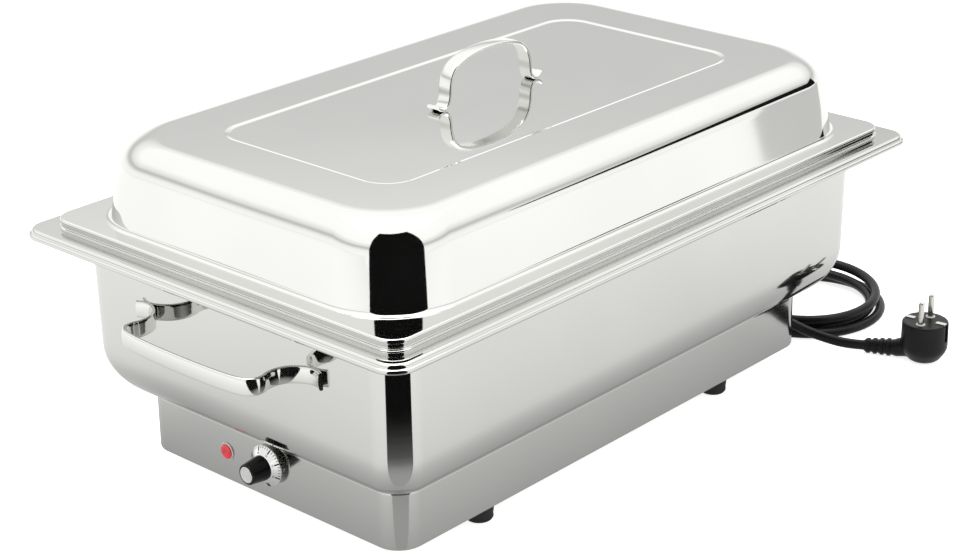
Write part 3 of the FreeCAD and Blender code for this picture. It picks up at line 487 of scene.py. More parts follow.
def lid_sections():
    top_half = DOME_FOOT_HALF - DOME_SLOPE * (LID_TOP - LID_CREASE)
    panel = [
        (PANEL_HALF - 30 * MM, LID_TOP - PANEL_DEPTH, 0),
        (PANEL_HALF - 3.0 * MM, LID_TOP - PANEL_DEPTH, 5 * MM),
        (PANEL_HALF, LID_TOP, 4 * MM),
        (PANEL_HALF + 14 * MM, LID_TOP, 0),
    ]
    sections = [(point.x, point.y, max(PANEL_CORNER + (point.x - PANEL_HALF) * 0.6, 4 * MM))
                for point in rounded_profile(panel, 5)]
    shoulder = rounded_profile([
        (PANEL_HALF + 14.5 * MM, LID_TOP, 0),
        (top_half, LID_TOP, DOME_RADIUS),
        (DOME_FOOT_HALF, LID_CREASE, 3.4 * MM),
        (LID_HALF, LID_CREASE, 1.5 * MM),
        (LID_HALF, LID_CREASE - 2.8 * MM, 0.5 * MM),
        (LID_HALF - 0.8 * MM, LID_CREASE - 3.3 * MM, 0.5 * MM),
        (LID_HALF - 0.8 * MM, LID_CREASE - 5.6 * MM, 0.4 * MM),
        (LID_HALF + 0.5 * MM, LID_CREASE - 6.2 * MM, 0.5 * MM),
        (LID_HALF + 0.5 * MM, LID_EDGE, 0),
    ], 12)
    start_half, start_corner = shoulder[0].x, PANEL_CORNER + 8.7 * MM
    for point in shoulder:
        if point.x < DOME_FOOT_HALF - 0.5 * MM:
            share = (point.x - start_half) / (DOME_FOOT_HALF - start_half)
            corner = start_corner + (DOME_CORNER - start_corner) * share
        else:
            share = min(1.0, (point.x - DOME_FOOT_HALF) / (4 * MM))
            corner = DOME_CORNER + 1.5 * MM * share
        if point.x > DOME_FOOT_HALF + 6 * MM:
            corner = max(LID_CORNER + point.x - LID_HALF, 3 * MM)
        sections.append((point.x, point.y, corner))
    return sections


sheet_piece("lid_shell", drawn_skin(hold(lid_sections()), 0.5 * MM, (LID_CREASE, LID_TOP)),
            SHEET, True, "lid", "polished_steel")


# ---------------------------------------------------------------- basin, pan and base
RIM_TOP, RIM_EDGE, RIM_HALF, RIM_CORNER = 186.6 * MM, 181.7 * MM, 283.5 * MM, 14.7 * MM
WALL_TOP_HALF, WALL_FOOT_HALF, BASIN_CORNER = 257.5 * MM, 256.0 * MM, 24.0 * MM
BASIN_UNDERSIDE, BASIN_CURVE = 56.5 * MM, 41.7 * MM
BASE_HALF, BASE_CORNER, FOOT_HEIGHT, SEAM = 230.0 * MM, 20.0 * MM, 15.0 * MM, 58.7 * MM


FLAT_HALF = 180.0 * MM       # the skins of basin and pan are flat inside this half length


def basin_sections():
    outline = rounded_profile([
        (FLAT_HALF, BASIN_UNDERSIDE, 0),
        (WALL_FOOT_HALF, BASIN_UNDERSIDE, BASIN_CURVE),
        (WALL_TOP_HALF, RIM_TOP, 3.0 * MM),
        (RIM_HALF, RIM_TOP, 1.6 * MM),
        (RIM_HALF, RIM_TOP - 2.6 * MM, 0.5 * MM),
        (RIM_HALF + 1.9 * MM, RIM_TOP - 3.2 * MM, 0.6 * MM),
        (RIM_HALF + 1.9 * MM, RIM_EDGE, 0),
    ], 14)
    sections = []
    for point in outline:
        if point.x < WALL_FOOT_HALF:
            corner = BASE_CORNER + (BASIN_CORNER - BASE_CORNER) * max(0, (point.x - BASE_HALF) / (26 * MM))
        else:
            corner = BASIN_CORNER + max(0, point.x - WALL_TOP_HALF)
        if point.x > WALL_TOP_HALF + 8 * MM:
            corner = RIM_CORNER + point.x - RIM_HALF
        sections.append((point.x, point.y, corner))
    return sections


BASIN_WALL = (BASIN_UNDERSIDE + BASIN_CURVE, RIM_TOP)
sheet_piece("water_basin", drawn_skin(hold(basin_sections()), 0.4 * MM, BASIN_WALL),
            BASIN_SHEET, False, "body", "satin_steel")

PAN_TOP, PAN_HALF, PAN_DEPTH = 193.9 * MM, 265.0 * MM, 65.0 * MM
PAN_WALL_TOP, PAN_WALL_FOOT, PAN_CORNER, PAN_CURVE = 252.5 * MM, 247.0 * MM, 48.0 * MM, 16.0 * MM


def pan_sections():
    """Inner side of the food pan, from its floor to its turned-down rim."""
    inner_wall = PAN_WALL_TOP - SHEET
    outline = rounded_profile([
        (FLAT_HALF, PAN_TOP - PAN_DEPTH + SHEET, 0),
        (PAN_WALL_FOOT - SHEET, PAN_TOP - PAN_DEPTH + SHEET, PAN_CURVE),
        (inner_wall, PAN_TOP, 3.0 * MM),
        (PAN_HALF, PAN_TOP, 2.0 * MM),
        (PAN_HALF, RIM_TOP + 0.4 * MM, 0),
    ], 12)
    sections = []
    for point in outline:
        corner = PAN_CORNER - SHEET - max(0, PAN_WALL_FOOT - point.x) * 0.4
        if point.x > PAN_WALL_TOP + 4 * MM:
            corner = 13 * MM + point.x - PAN_HALF
        sections.append((point.x, point.y, corner))
    return sections


sheet_piece("food_pan", drawn_skin(hold(pan_sections())), SHEET, True, "food_pan", "pan_steel")


def housing_sections():
    """Outer face of the base band, turned inward around its foot."""
    outline = rounded_profile([
        (BASE_HALF - 12 * MM, FOOT_HEIGHT, 0),
        (BASE_HALF, FOOT_HEIGHT, 1.6 * MM),
        (BASE_HALF, SEAM, 0),
    ], 6)
    return [(point.x, point.y, BASE_CORNER + point.x - BASE_HALF) for point in outline]


sheet_piece("base_housing", drawn_skin(hold(housing_sections()), capped=False),
            SHEET, True, "body", "satin_steel")


# ---------------------------------------------------------------- handles
def smooth_line(points, steps=10):
    """Catmull-Rom line through the points."""
    line = []
    padded = [points[0] * 2 - points[1]] + points + [points[-1] * 2 - points[-2]]
    for before, start, end, after in zip(padded, padded[1:], padded[2:], padded[3:]):
        for step in range(steps):
            t = step / steps
            line.append(0.5 * (2 * start + (end - before) * t
                               + (2 * before - 5 * start + 4 * end - after) * t * t
                               + (3 * start - before - 3 * end + after) * t ** 3))
    line.append(points[-1])
    return line


def strip_section(width, thickness, crown):
    """Half-round-edged flat section as (across, outward) points; crown bulges its outer face."""
    half, radius, edge_steps = width / 2, thickness * 0.42, 4
    edge = []
    for step in range(edge_steps + 1):
        angle = math.radians(90 * step / edge_steps)
        out = thickness / 2 - radius + radius * math.sin(angle)
        edge.append((half - radius + radius * math.cos(angle), out))
    face = [(share * half, thickness / 2) for share in (0.6, 0.3, 0.0, -0.3, -0.6)]
    upper = edge + face + [(-across, out) for across, out in reversed(edge)]
    lower = [(-across, -out) for across, out in upper]
    bulged = [(across, out + crown * (1 - (across / half) ** 2)) for across, out in upper]
    return bulged + lower


def bow_piece(name, bow, width, thickness, crown, place, body):
    """Handle strip swept along a bow; place turns (along, away, across) into the row frame."""
    points = [Vector((along, away, 0)) for along, away in bow]
    mirrored = [Vector((-point.x, point.y, 0)) for point in points[-2::-1]]
    line = smooth_line(points + mirrored)
    section = strip_section(width, thickness, crown)
    builder = bmesh.new()
    rings = []
    for index, point in enumerate(line):
        before, after = line[max(index - 1, 0)], line[min(index + 1, len(line) - 1)]
        along = (after - before).normalized()
        outward = Vector((along.y, -along.x, 0))
        ring = []
        for across, out in section:
            local = point + outward * out
            ring.append(builder.verts.new(place(local.x, local.y, across)))
        rings.append(ring)
    for first, second in zip(rings, rings[1:]):
        bridge(builder, first, second)
    for ring in (rings[0], rings[-1]):
        builder.faces.new(ring)
    return finish_piece(name + "_bow", builder, body, "handle_steel", [name], 40)


HANDLE_THICKNESS = 2.4 * MM
LID_HANDLE_BOW = [(56, 4.0), (53, 1.9), (49, 1.15), (45.4, 3.3), (43.4, 9.0), (42.6, 16.5),
                  (39.9, 24.5), (33.0, 31.0), (19.0, 35.2), (0, 36.6)]
CARRY_HANDLE_BOW = [(91, 3.6), (86, 1.4), (79.5, 1.2), (72.5, 4.2), (66.6, 9.4), (63.4, 16.4),
                    (63.0, 24.0), (64.6, 31.0), (63.0, 37.4), (55.0, 41.8), (34.0, 44.2), (0, 45.0)]
CARRY_HANDLE_HEIGHT = 143.0 * MM


def in_metres(bow):
    return [(along * MM, away * MM) for along, away in bow]


def handles():
    low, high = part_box("lid_handle")
    base = LID_TOP - PANEL_DEPTH
    bow_piece("lid_handle", in_metres(LID_HANDLE_BOW), high.y - low.y, HANDLE_THICKNESS, 0.35 * MM,
              lambda along, away, across: Vector((along, across, base + away)), "lid")
    wall = WALL_FOOT_HALF + 0.8 * MM
    for end, side in (("control", -1), ("cord", 1)):
        name = "carry_handle_%s_end" % end
        low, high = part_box(name)
        bow_piece(name, in_metres(CARRY_HANDLE_BOW), high.z - low.z, HANDLE_THICKNESS, 0.9 * MM,
                  lambda along, away, across, side=side:
                  Vector((side * (wall + away), along, CARRY_HANDLE_HEIGHT + across)), "body")


handles()


# ---------------------------------------------------------------- turned pieces
def lathe(builder, outline, origin, axis, steps=64):
    """Revolves (along, radius) points about an axis; a zero radius closes an end."""
    axis = axis.normalized()
    side = axis.orthogonal().normalized()
    other = axis.cross(side)
    rings = []
    for along, radius in outline:
        centre = origin + axis * along
        if radius < 1e-6:
            rings.append([builder.verts.new(centre)])
            continue
        ring = []
        for step in range(steps):
            angle = 2 * math.pi * step / steps
            swung = side * math.cos(angle) + other * math.sin(angle)
            ring.append(builder.verts.new(centre + swung * radius))
        rings.append(ring)
    for first, second in zip(rings, rings[1:]):
        if len(first) == 1:
            for step in range(steps):
                builder.faces.new((first[0], second[step], second[(step + 1) % steps]))
        elif len(second) == 1:
            for step in range(steps):
                builder.faces.new((first[step], first[(step + 1) % steps], second[0]))
        else:
            bridge(builder, first, second)


def lathe_outline(points, steps=5):
    """Rounded outline for a turned piece, given as (along, radius, rounding) in millimetres."""
    line = rounded_profile([(a * MM, b * MM, c * MM) for a, b, c in points], steps)
    return [(point.x, max(point.y, 0.0)) for point in line]


def turned_piece(name, points, origin, axis, body, slot, replaced, smooth_angle=35):
    builder = bmesh.new()
    lathe(builder, lathe_outline(points), origin, axis)
    piece = finish_piece(name, builder, body, slot, replaced, smooth_angle)
    weigh_normals(piece)
    return piece


KNOB_PLACE = Vector((-BASE_HALF, -3.5 * MM, 43.0 * MM))
OUTWARD = Vector((-1, 0, 0))
UP = Vector((0, 0, 1))
# The dial skirt in millimetres: a thin edge, and a cone that rises from it to the grip.
SKIRT_START, SKIRT_EDGE, SKIRT_END = 3.2, 4.2, 7.8
SKIRT_RADIUS, SKIRT_INNER_RADIUS = 15.2, 9.2
GRIP_LENGTH = 14.6


def knob():
    turned_piece("dial_skirt_plate", [
        (SKIRT_START, 0, 0), (SKIRT_START, SKIRT_RADIUS, 0.4), (SKIRT_EDGE, SKIRT_RADIUS, 0.4),
        (SKIRT_END, SKIRT_INNER_RADIUS, 1.0), (SKIRT_END, 0, 0),
    ], KNOB_PLACE, OUTWARD, "knob", "dial_metal", ["dial_skirt"])
    rear = SKIRT_END + 0.05
    front = rear + GRIP_LENGTH
    turned_piece("knob_grip", [
        (rear, 0, 0), (rear, 9.1, 0.5), (rear + 2.2, 9.0, 2.0), (front - 0.2, 7.5, 1.1),
        (front, 6.6, 0.2), (front - 0.1, 6.05, 0.15), (front - 0.9, 6.0, 0.1), (front - 0.9, 0, 0),
    ], KNOB_PLACE, OUTWARD, "knob", "knob_black", ["knob_body"])
    turned_piece("knob_disc", [
        (front - 0.8, 0, 0), (front - 0.8, 5.9, 0.1), (front + 0.25, 5.9, 0.3), (front + 0.1, 4.0, 3),
        (front, 0, 0),
    ], KNOB_PLACE, OUTWARD, "knob", "dial_metal", ["knob_cap"])


knob()


def skirt_surface(radius):
    """Distance of the skirt's conical face from the panel at a radius, in millimetres."""
    share = (SKIRT_RADIUS - radius) / (SKIRT_RADIUS - SKIRT_INNER_RADIUS)
    return SKIRT_EDGE + (SKIRT_END - SKIRT_EDGE) * share


def dial_point(angle, radius, lift):
    """Point on the skirt's face; angle in degrees clockwise from the top as a user sees it."""
    swing = math.radians(angle)
    out = (skirt_surface(radius) + lift) * MM
    return KNOB_PLACE + Vector((-out, -math.sin(swing) * radius * MM, math.cos(swing) * radius * MM))


def dial_bar(builder, angle, inner, outer, width):
    """Printed bar: a low closed box that follows the cone."""
    corners = []
    for lift in (-0.05, 0.05):
        for radius, side in ((inner, -1), (outer, -1), (outer, 1), (inner, 1)):
            turn = angle + side * math.degrees(width / 2 / radius)
            corners.append(builder.verts.new(dial_point(turn, radius, lift)))
    for face in ((3, 2, 1, 0), (4, 5, 6, 7), (0, 1, 5, 4), (1, 2, 6, 5), (2, 3, 7, 6), (3, 0, 4, 7)):
        builder.faces.new([corners[index] for index in face])


DIAL_START = -113.0          # degrees clockwise from the top, as a user sees the dial
DIAL_ZERO = 168.0
NUMERALS, NUMERAL_STEP, MARKS_PER_NUMERAL = 6, 45, 5


def dial_marks():
    """Graduation: a bold bar at each numeral, fine bars between and a broad zero mark."""
    builder = bmesh.new()
    for index in range((NUMERALS - 1) * MARKS_PER_NUMERAL + 1):
        bold = index % MARKS_PER_NUMERAL == 0
        inner, width = (11.8, 1.0) if bold else (13.5, 0.45)
        dial_bar(builder, DIAL_START + index * NUMERAL_STEP / MARKS_PER_NUMERAL, inner, 15.0, width)
    dial_bar(builder, DIAL_ZERO, 11.8, 15.05, 3.0)
    piece = finish_piece("dial_marks", builder, "knob", "knob_black", [])
    piece.data.materials[0] = DIAL_INK


def dial_numerals():
    """Generic degree numbers beside the bold bars."""
    radius = 10.6
    for index in range(NUMERALS):
        angle = DIAL_START + index * NUMERAL_STEP
        text = bpy.data.curves.new("dial_numeral_%d" % index, "FONT")
        text.body = str(80 - index * 10)
        text.size = 1.8 * MM
        text.extrude = 0.03 * MM
        text.align_x, text.align_y = "CENTER", "CENTER"
        text.resolution_u = 3
        draft = link("dial_numeral_draft", text)
        mesh = bpy.data.meshes.new_from_object(draft)
        bpy.data.objects.remove(draft)
        radial = (dial_point(angle, radius + 0.5, 0) - dial_point(angle, radius - 0.5, 0)).normalized()
        tangent = (dial_point(angle + 1, radius, 0) - dial_point(angle - 1, radius, 0)).normalized()
        facing = tangent.cross(radial).normalized()
        turn = Matrix((tangent, radial, facing)).transposed().to_4x4()
        mesh.transform(Matrix.Translation(dial_point(angle, radius, 0.02)) @ turn)
        mesh.materials.clear()
        mesh.materials.append(DIAL_INK)
        piece = link("dial_numeral_%d" % index, mesh)
        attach(piece, "knob")


dial_marks()
dial_numerals()

LAMP_PLACE = Vector((-BASE_HALF, 41.0 * MM, 38.0 * MM))


def pilot_lamp():
    turned_piece("lamp_ring", [
        (0, 5.05, 0), (0, 6.9, 0.2), (0.8, 6.7, 0.5), (1.0, 5.6, 0.4), (0.8, 5.05, 0.1), (0, 5.05, 0),
    ], LAMP_PLACE, OUTWARD, "body", "lamp_bezel", ["pilot_lamp_bezel"])
    turned_piece("lamp_lens", [
        (-10, 0, 0), (-10, 4.7, 0.3), (0.6, 4.7, 0), (0.6, 5.6, 0.2), (1.6, 5.3, 0.9), (2.1, 3.0, 1.0),
        (2.0, 1.2, 0.5), (1.7, 0, 0),
    ], LAMP_PLACE, OUTWARD, "body", "lamp_red", ["pilot_lamp_lens"])


pilot_lamp()


def feet():
    for number in range(1, 5):
        name = "foot_%d" % number
        low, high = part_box(name)
        middle = Vector(((low.x + high.x) / 2, (low.y + high.y) / 2, 0))
        top = (high.z - low.z) / MM
        turned_piece(name + "_pad", [
            (7.0, 2.2, 0), (7.0, 5.0, 0.3), (0.3, 5.0, 0.4), (0, 5.5, 0.4), (0, 8.9, 1.4), (2.0, 10.2, 1.6),
            (4.0, 9.9, 1.0), (top - 2.0, 10.9, 1.0), (top, 10.9, 0.5), (top, 2.2, 0), (7.0, 2.2, 0),
        ], middle, UP, "body", "foot_rubber", [name])


feet()


# ---------------------------------------------------------------- cable gland and plug
GLAND_PLACE = Vector((BASE_HALF, 40.0 * MM, 34.0 * MM))


def gland():
    """Domed nut and ribbed bend-relief sleeve around the cord."""
    outline = [(-9, 4.1, 0), (-9, 8.0, 0.3), (0, 8.0, 0), (0, 10.6, 0.4), (4.2, 10.6, 0.6), (4.4, 10.0, 0.2),
               (8.5, 9.6, 1.5), (12.0, 8.2, 1.5), (12.4, 7.2, 0.3)]
    for rib in range(6):
        start = 13.4 + rib * 3.7
        radius = 7.1 - rib * 0.33
        outline += [(start, radius, 0.25), (start + 0.5, radius - 0.75, 0.25),
                    (start + 1.5, radius - 0.8, 0.25), (start + 2.0, radius - 0.1, 0.25)]
    outline += [(36.6, 5.2, 0.4), (37.0, 4.8, 0.2), (37.0, 4.1, 0), (-9, 4.1, 0)]
    turned_piece("gland_relief", outline, GLAND_PLACE, -OUTWARD, "body", "gland_black", ["cable_gland"])


gland()

PLUG_CENTRE = Vector((290.0 * MM, -204.0 * MM, 0))
PLUG_RADIUS, PLUG_HEIGHT, NECK_HEIGHT = 18.5 * MM, 34.0 * MM, 7.6 * MM
RELIEF_START = Vector(TAIL_ROUTE[-1])
TOWARDS_CORD = Vector((RELIEF_START.x - PLUG_CENTRE.x, RELIEF_START.y - PLUG_CENTRE.y, 0)).normalized()
PIN_LINE_ANGLE = math.radians(8)
ALONG_PINS = Vector((math.cos(PIN_LINE_ANGLE), math.sin(PIN_LINE_ANGLE), 0))
ACROSS_PINS = Vector((-ALONG_PINS.y, ALONG_PINS.x, 0))
PIN_SPACING = 19.0 * MM
PIN_RADIUS, PIN_LENGTH = 2.4, 19.0          # in millimetres, as a turned outline has them
NECK_START = PLUG_CENTRE + TOWARDS_CORD * (PLUG_RADIUS + 3 * MM) + UP * NECK_HEIGHT
NECK_END = PLUG_CENTRE + UP * (12.8 * MM)
PIN_FEET = [PLUG_CENTRE + ALONG_PINS * (side * PIN_SPACING / 2) + UP * PLUG_HEIGHT for side in (-1, 1)]


def box_into(builder, centre, along, across, size):
    """Adds a box with its length along one direction and its width along another."""
    up = along.cross(across)
    turn = Matrix((along, across, up)).transposed().to_4x4()
    scale = Matrix.Diagonal((*size, 1))
    bmesh.ops.create_cube(builder, size=1, matrix=Matrix.Translation(centre) @ turn @ scale)


def plug_body():
    """Angled plug: an upright round body that a tapered neck runs into, blended by a fine remesh."""
    builder = bmesh.new()
    lathe(builder, lathe_outline([
        (0.3, 0, 0), (0.3, 11.5, 9.0), (11.0, 18.6, 12.0), (28.0, 18.4, 0), (33.2, 18.3, 0.8),
        (34.0, 17.6, 0.4), (34.0, 0, 0),
    ], 8), PLUG_CENTRE, UP, 96)
    lathe(builder, lathe_outline([
        (0, 0, 0), (0, 7.2, 0.6), (6, 7.8, 6), (16, 11.4, 12), (24, 12.4, 8), (34, 8.0, 8), (36, 0, 0),
    ], 6), NECK_START, NECK_END - NECK_START, 64)
    draft = object_from("plug_draft", builder)
    remesh = draft.modifiers.new("blend", "REMESH")
    remesh.mode = "VOXEL"
    remesh.voxel_size = 0.55 * MM
    smooth = draft.modifiers.new("smooth", "SMOOTH")
    smooth.iterations = 5
    smooth.factor = 0.5
    blended = bmesh.new()
    blended.from_mesh(evaluated_mesh(draft))
    bpy.data.objects.remove(draft)
    return blended


def cut_plug():
    """The blended plug with a slot for each earth contact and a recess around each pin."""
    piece = finish_piece("plug_moulding", plug_body(), "body", "plug_black", ["plug_body"], 60)
    builder = bmesh.new()
    for side in (-1, 1):
        centre = PLUG_CENTRE + ACROSS_PINS * (side * 17.4 * MM) + UP * (27.0 * MM)
        box_into(builder, centre, ALONG_PINS, ACROSS_PINS, (5.0 * MM, 3.2 * MM, 15 * MM))
    for foot in PIN_FEET:
        lathe(builder, [(-0.9 * MM, 0), (-0.9 * MM, 3.9 * MM), (2 * MM, 3.9 * MM), (2 * MM, 0)], foot, UP, 40)
    cutter = object_from("plug_cutter", builder)
    cut = piece.modifiers.new("slots", "BOOLEAN")
    cut.object = cutter
    cut.solver = "EXACT"
    result = evaluated_mesh(piece)
    piece.modifiers.clear()
    piece.data = result
    result.set_sharp_from_angle(angle=math.radians(40))
    bpy.data.objects.remove(cutter)
    return piece


def plug_pins():
    """Two round pins, each in a light collar; the first one stands for the CAD node of both."""
    pieces = []
    for number, foot, replaced in ((1, PIN_FEET[0], ["plug_pins"]), (2, PIN_FEET[1], [])):
        pieces.append(turned_piece("plug_pin_%d" % number, [
            (-6, 0, 0), (-6, PIN_RADIUS, 0.1), (PIN_LENGTH - 1.2, PIN_RADIUS, 1.0), (PIN_LENGTH, 1.5, 0.5),
            (PIN_LENGTH, 0, 0),
        ], foot, UP, "body", "pin_nickel", replaced))
        collar = turned_piece("pin_collar_%d" % number, [
            (-1.2, 2.45, 0), (-1.2, 3.8, 0.1), (0.5, 3.7, 0.4), (0.5, 2.45, 0), (-1.2, 2.45, 0),
        ], foot, UP, "body", "plug_black", [])
        collar.data.materials[0] = CONTACT_GREY
        pieces.append(collar)
    return pieces


def earth_contacts():
    """Bent contact strips: over the face's edge and down each slot."""
    builder = bmesh.new()
    for side in (-1, 1):
        out = ACROSS_PINS * side
        top = PLUG_CENTRE + out * (PLUG_RADIUS - 5.4 * MM) + UP * (PLUG_HEIGHT + 0.25 * MM)
        box_into(builder, top, out, UP.cross(out), (8.4 * MM, 4.6 * MM, 0.7 * MM))
        drop = PLUG_CENTRE + out * (PLUG_RADIUS - 2.3 * MM) + UP * (PLUG_HEIGHT - 6.5 * MM)
        box_into(builder, drop, out, UP.cross(out), (0.7 * MM, 4.4 * MM, 13.0 * MM))
    bmesh.ops.bevel(builder, geom=builder.edges[:], offset=0.2 * MM, segments=2, affect="EDGES")
    return finish_piece("plug_earth_strips", builder, "body", "pin_nickel", ["plug_earth_contacts"], 40)


def plug_relief():
    """Ribbed taper from the cord into the neck, flat where it would reach below the table."""
    axis = NECK_START - RELIEF_START
    length = axis.length / MM
    outline = [(-1.0, 0, 0), (-1.0, 4.3, 0.2), (0.6, 5.3, 0.3)]
    for rib in range(4):
        start = 0.8 + rib * (length - 3) / 4
        radius = 6.2 + 0.35 * rib
        outline += [(start, radius - 1.1, 0.3), (start + 0.4, radius, 0.5), (start + 3.0, radius, 0.5),
                    (start + 3.5, radius - 1.1, 0.4)]
    outline += [(length - 0.6, 7.0, 0.5), (length + 2, 7.2, 0.3), (length + 2, 0, 0)]
    relief = turned_piece("plug_relief", outline, RELIEF_START, axis, "body", "cord_black",
                          ["plug_strain_relief"], 60)
    for vertex in relief.data.vertices:
        vertex.co.z = max(vertex.co.z, 0.1 * MM)
    return relief


plug_pieces = [cut_plug(), earth_contacts(), plug_relief()] + plug_pins()


# ---------------------------------------------------------------- stage and light
FLOOR_COLOR, FLOOR_GLOW, FLOOR_REACH = (0.80, 0.80, 0.795), 0.75, 9.0
# The floor's painted reflection, dimmer near the base as painted shade: share of this distance from the base,
# and half the brightness there.
REFLECTION_REACH = 2.0
FLOOR_REFLECTION = [(0, 0.22), (1, 0.66), (0.04, 0.34), (0.10, 0.50), (0.20, 0.58), (0.45, 0.64)]
# Sine of the elevation, and the brightness there.
WORLD_LEVELS = [(0.0, 1.30), (1.0, 1.4), (0.14, 1.20), (0.27, 0.72), (0.32, 0.78), (0.37, 1.02), (0.55, 1.35)]
# Name, brightness, plan of the near and the far end, and each end's lowest and highest point.
SIDE_CARDS = [("grey_wall", 0.74, [(1.05, -0.88), (1.40, -0.40)], (0.001, 0.30), (0.001, 0.30)),
              ("black_card", 0.01, [(0.70, -1.00), (1.50, -0.52)], (0.39, 0.43), (0.34, 0.70))]
# The base's near corner, the direction of the camera from it, and the dark wedge on both sides of that.
CORNER = Vector((-BASE_HALF, -(BASE_HALF - GN_DIFFERENCE), 0))
CAMERA_SIDE = math.atan2(CAMERA_PLACE.y - CORNER.y, CAMERA_PLACE.x - CORNER.x)
DARK_LEFT, DARK_RIGHT = math.radians(30), math.radians(46)
DARK_FADE = (-0.06, 0.28)    # distances from the corner


def stage_mesh(name, corners, faces, material, reflected_only=False):
    """Part of the studio; reflected_only keeps it out of everything but mirror images."""
    mesh = bpy.data.meshes.new(name)
    mesh.from_pydata([tuple(corner) for corner in corners], [], faces)
    mesh.materials.append(material)
    card = link(name, mesh)
    if reflected_only:
        card.visible_camera = False
        card.visible_diffuse = False
        card.visible_shadow = False
        card.visible_transmission = False
    return card


def glow(name, strength):
    """Plain emission of a fixed grey."""
    material = bpy.data.materials.new(name)
    material.use_nodes = True
    tree = material.node_tree
    tree.nodes.clear()
    emission = tree.nodes.new("ShaderNodeEmission")
    emission.inputs["Color"].default_value = (1, 1, 0.99, 1)
    emission.inputs["Strength"].default_value = strength
    output = tree.nodes.new("ShaderNodeOutputMaterial")
    tree.links.new(emission.outputs["Emission"], output.inputs["Surface"])
    return material


def square(reach, height):
    return [(-reach, -reach, height), (reach, -reach, height), (reach, reach, height), (-reach, reach, height)]


def floor():
    """Light table: a pale floor that glows a little from within, so that shadows stay soft."""
    material, tree, shader = new_material("floor_white", FLOOR_COLOR, 0.0, 0.7)
    shader.inputs["Specular IOR Level"].default_value = 0.1
    shader.inputs["Emission Color"].default_value = (1, 1, 0.995, 1)
    shader.inputs["Emission Strength"].default_value = FLOOR_GLOW
    tree.links.new(mix_color(tree, spread(tree, noise(tree, 3), 0, 1), FLOOR_COLOR, (0.78, 0.78, 0.775)),
                   shader.inputs["Base Color"])
    table = stage_mesh("floor", square(FLOOR_REACH, 0), [(0, 1, 2, 3)], material)
    table.visible_glossy = False


def reflected_floor():
    """Painted reflection of the table for the steel: dimmer close to the base as painted shade, brighter
    further out.
    """
    material = glow("reflected_floor", 1.0)
    tree = material.node_tree
    mirrored = reckon(tree, "VectorMath", "ABSOLUTE", object_place(tree))
    beyond = reckon(tree, "VectorMath", "SUBTRACT", mirrored.outputs["Vector"],
                    (BASE_HALF, BASE_HALF - GN_DIFFERENCE, 0))
    outside = reckon(tree, "VectorMath", "MAXIMUM", beyond.outputs["Vector"], (0, 0, 0))
    distance = reckon(tree, "VectorMath", "LENGTH", outside.outputs["Vector"])
    ramp = tree.nodes.new("ShaderNodeFloatCurve")
    curve = ramp.mapping.curves[0]
    for index, (x, y) in enumerate(FLOOR_REFLECTION):
        if index < 2:
            curve.points[index].location = (x, y)
        else:
            curve.points.new(x, y)
    ramp.mapping.update()
    share = reckon(tree, "Math", "DIVIDE", distance.outputs["Value"], REFLECTION_REACH)
    tree.links.new(share.outputs["Value"], ramp.inputs["Value"])
    doubled = reckon(tree, "Math", "MULTIPLY", ramp.outputs["Value"], 2.0)
    tree.links.new(doubled.outputs["Value"], tree.nodes["Emission"].inputs["Strength"])
    stage_mesh("reflected_floor", square(FLOOR_REACH, 0.4 * MM), [(0, 1, 2, 3)], material, True)


def around(angle, radius, height):
    """Point seen from the near corner: angle from the camera's side, positive towards the long side."""
    turned = CAMERA_SIDE + angle
    return CORNER + Vector((math.cos(turned) * radius, math.sin(turned) * radius, height))


def fading_dark():
    """Black that fades out towards the near corner of the base."""
    material = glow("unlit", 0.006)
    tree = material.node_tree
    away = reckon(tree, "VectorMath", "DISTANCE", object_place(tree), CORNER)
    fade = tree.nodes.new("ShaderNodeMapRange")
    fade.interpolation_type = "SMOOTHSTEP"
    fade.inputs["From Min"].default_value = DARK_FADE[0]
    fade.inputs["From Max"].default_value = DARK_FADE[1]
    clear = tree.nodes.new("ShaderNodeBsdfTransparent")
    mix = tree.nodes.new("ShaderNodeMixShader")
    tree.links.new(away.outputs["Value"], fade.inputs["Value"])
    tree.links.new(fade.outputs["Result"], mix.inputs["Fac"])
    tree.links.new(clear.outputs["BSDF"], mix.inputs[1])
    tree.links.new(tree.nodes["Emission"].outputs["Emission"], mix.inputs[2])
    output = [node for node in tree.nodes if node.type == "OUTPUT_MATERIAL"][0]
    tree.links.new(mix.outputs["Shader"], output.inputs["Surface"])
    return material


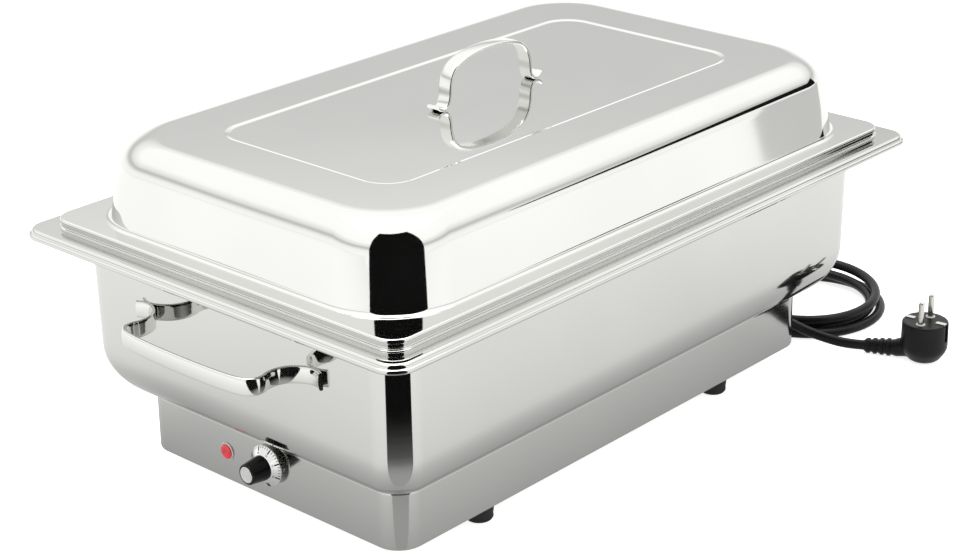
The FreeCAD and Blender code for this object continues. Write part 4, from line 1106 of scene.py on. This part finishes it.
def dark_side():
    """Unlit part of the studio, behind the camera: seen only in the rounded corners."""
    dark = fading_dark()
    steps = 12
    # Distance from the corner and height: along the table, up a wall and back overhead.
    rows = [(0.015, 0.002), (0.45, 0.002), (1.9, 0.002), (1.9, 1.2), (1.9, 2.4), (1.0, 3.0)]
    corners, faces = [], []
    for row, (radius, height) in enumerate(rows):
        for step in range(steps + 1):
            angle = -DARK_LEFT + (DARK_LEFT + DARK_RIGHT) * step / steps
            corners.append(around(angle, radius, height))
    for row in range(len(rows) - 1):
        for step in range(steps):
            first = row * (steps + 1) + step
            faces.append((first, first + 1, first + steps + 2, first + steps + 1))
    stage_mesh("dark_side", corners, faces, dark, True)


def side_cards():
    """A grey wall and a narrow black card to the right, mirrored at the far end of the lid's side."""
    for name, strength, (first, last), first_heights, last_heights in SIDE_CARDS:
        corners = [(*first, first_heights[0]), (*last, last_heights[0]),
                   (*last, last_heights[1]), (*first, first_heights[1])]
        stage_mesh(name, corners, [(0, 1, 2, 3)], glow(name, strength), True)


def world():
    """Studio surroundings: bright at the horizon, greyer above it, bright again overhead."""
    surroundings = bpy.data.worlds.new("studio")
    scene.world = surroundings
    surroundings.use_nodes = True
    tree = surroundings.node_tree
    place = tree.nodes.new("ShaderNodeTexCoord")
    parts = tree.nodes.new("ShaderNodeSeparateXYZ")
    tree.links.new(place.outputs["Generated"], parts.inputs["Vector"])
    ramp = tree.nodes.new("ShaderNodeValToRGB")
    stops = ramp.color_ramp.elements
    for index, (height, level) in enumerate(WORLD_LEVELS):
        stop = stops[index] if index < 2 else stops.new(height)
        stop.position = height
        stop.color = (level / 2, level / 2, level / 2 * 0.99, 1)
    tree.links.new(parts.outputs["Z"], ramp.inputs["Fac"])
    background = tree.nodes["Background"]
    background.inputs["Strength"].default_value = 2.0
    tree.links.new(ramp.outputs["Color"], background.inputs["Color"])


def softbox(name, place, aim, size, power):
    """Rectangular lamp at a place, turned towards a point."""
    light = bpy.data.lights.new(name, "AREA")
    light.shape = "RECTANGLE"
    light.size, light.size_y = size
    light.energy = power
    lamp = link(name, light)
    lamp.location = place
    lamp.rotation_euler = (Vector(aim) - Vector(place)).to_track_quat("-Z", "Y").to_euler()


floor()
reflected_floor()
dark_side()
side_cards()
world()
softbox("overhead_softbox", (0.1, 0.1, 1.7), (0, 0, 0), (1.6, 1.2), 16)
scene.view_settings.view_transform = "Standard"
scene.view_settings.exposure = 0.0
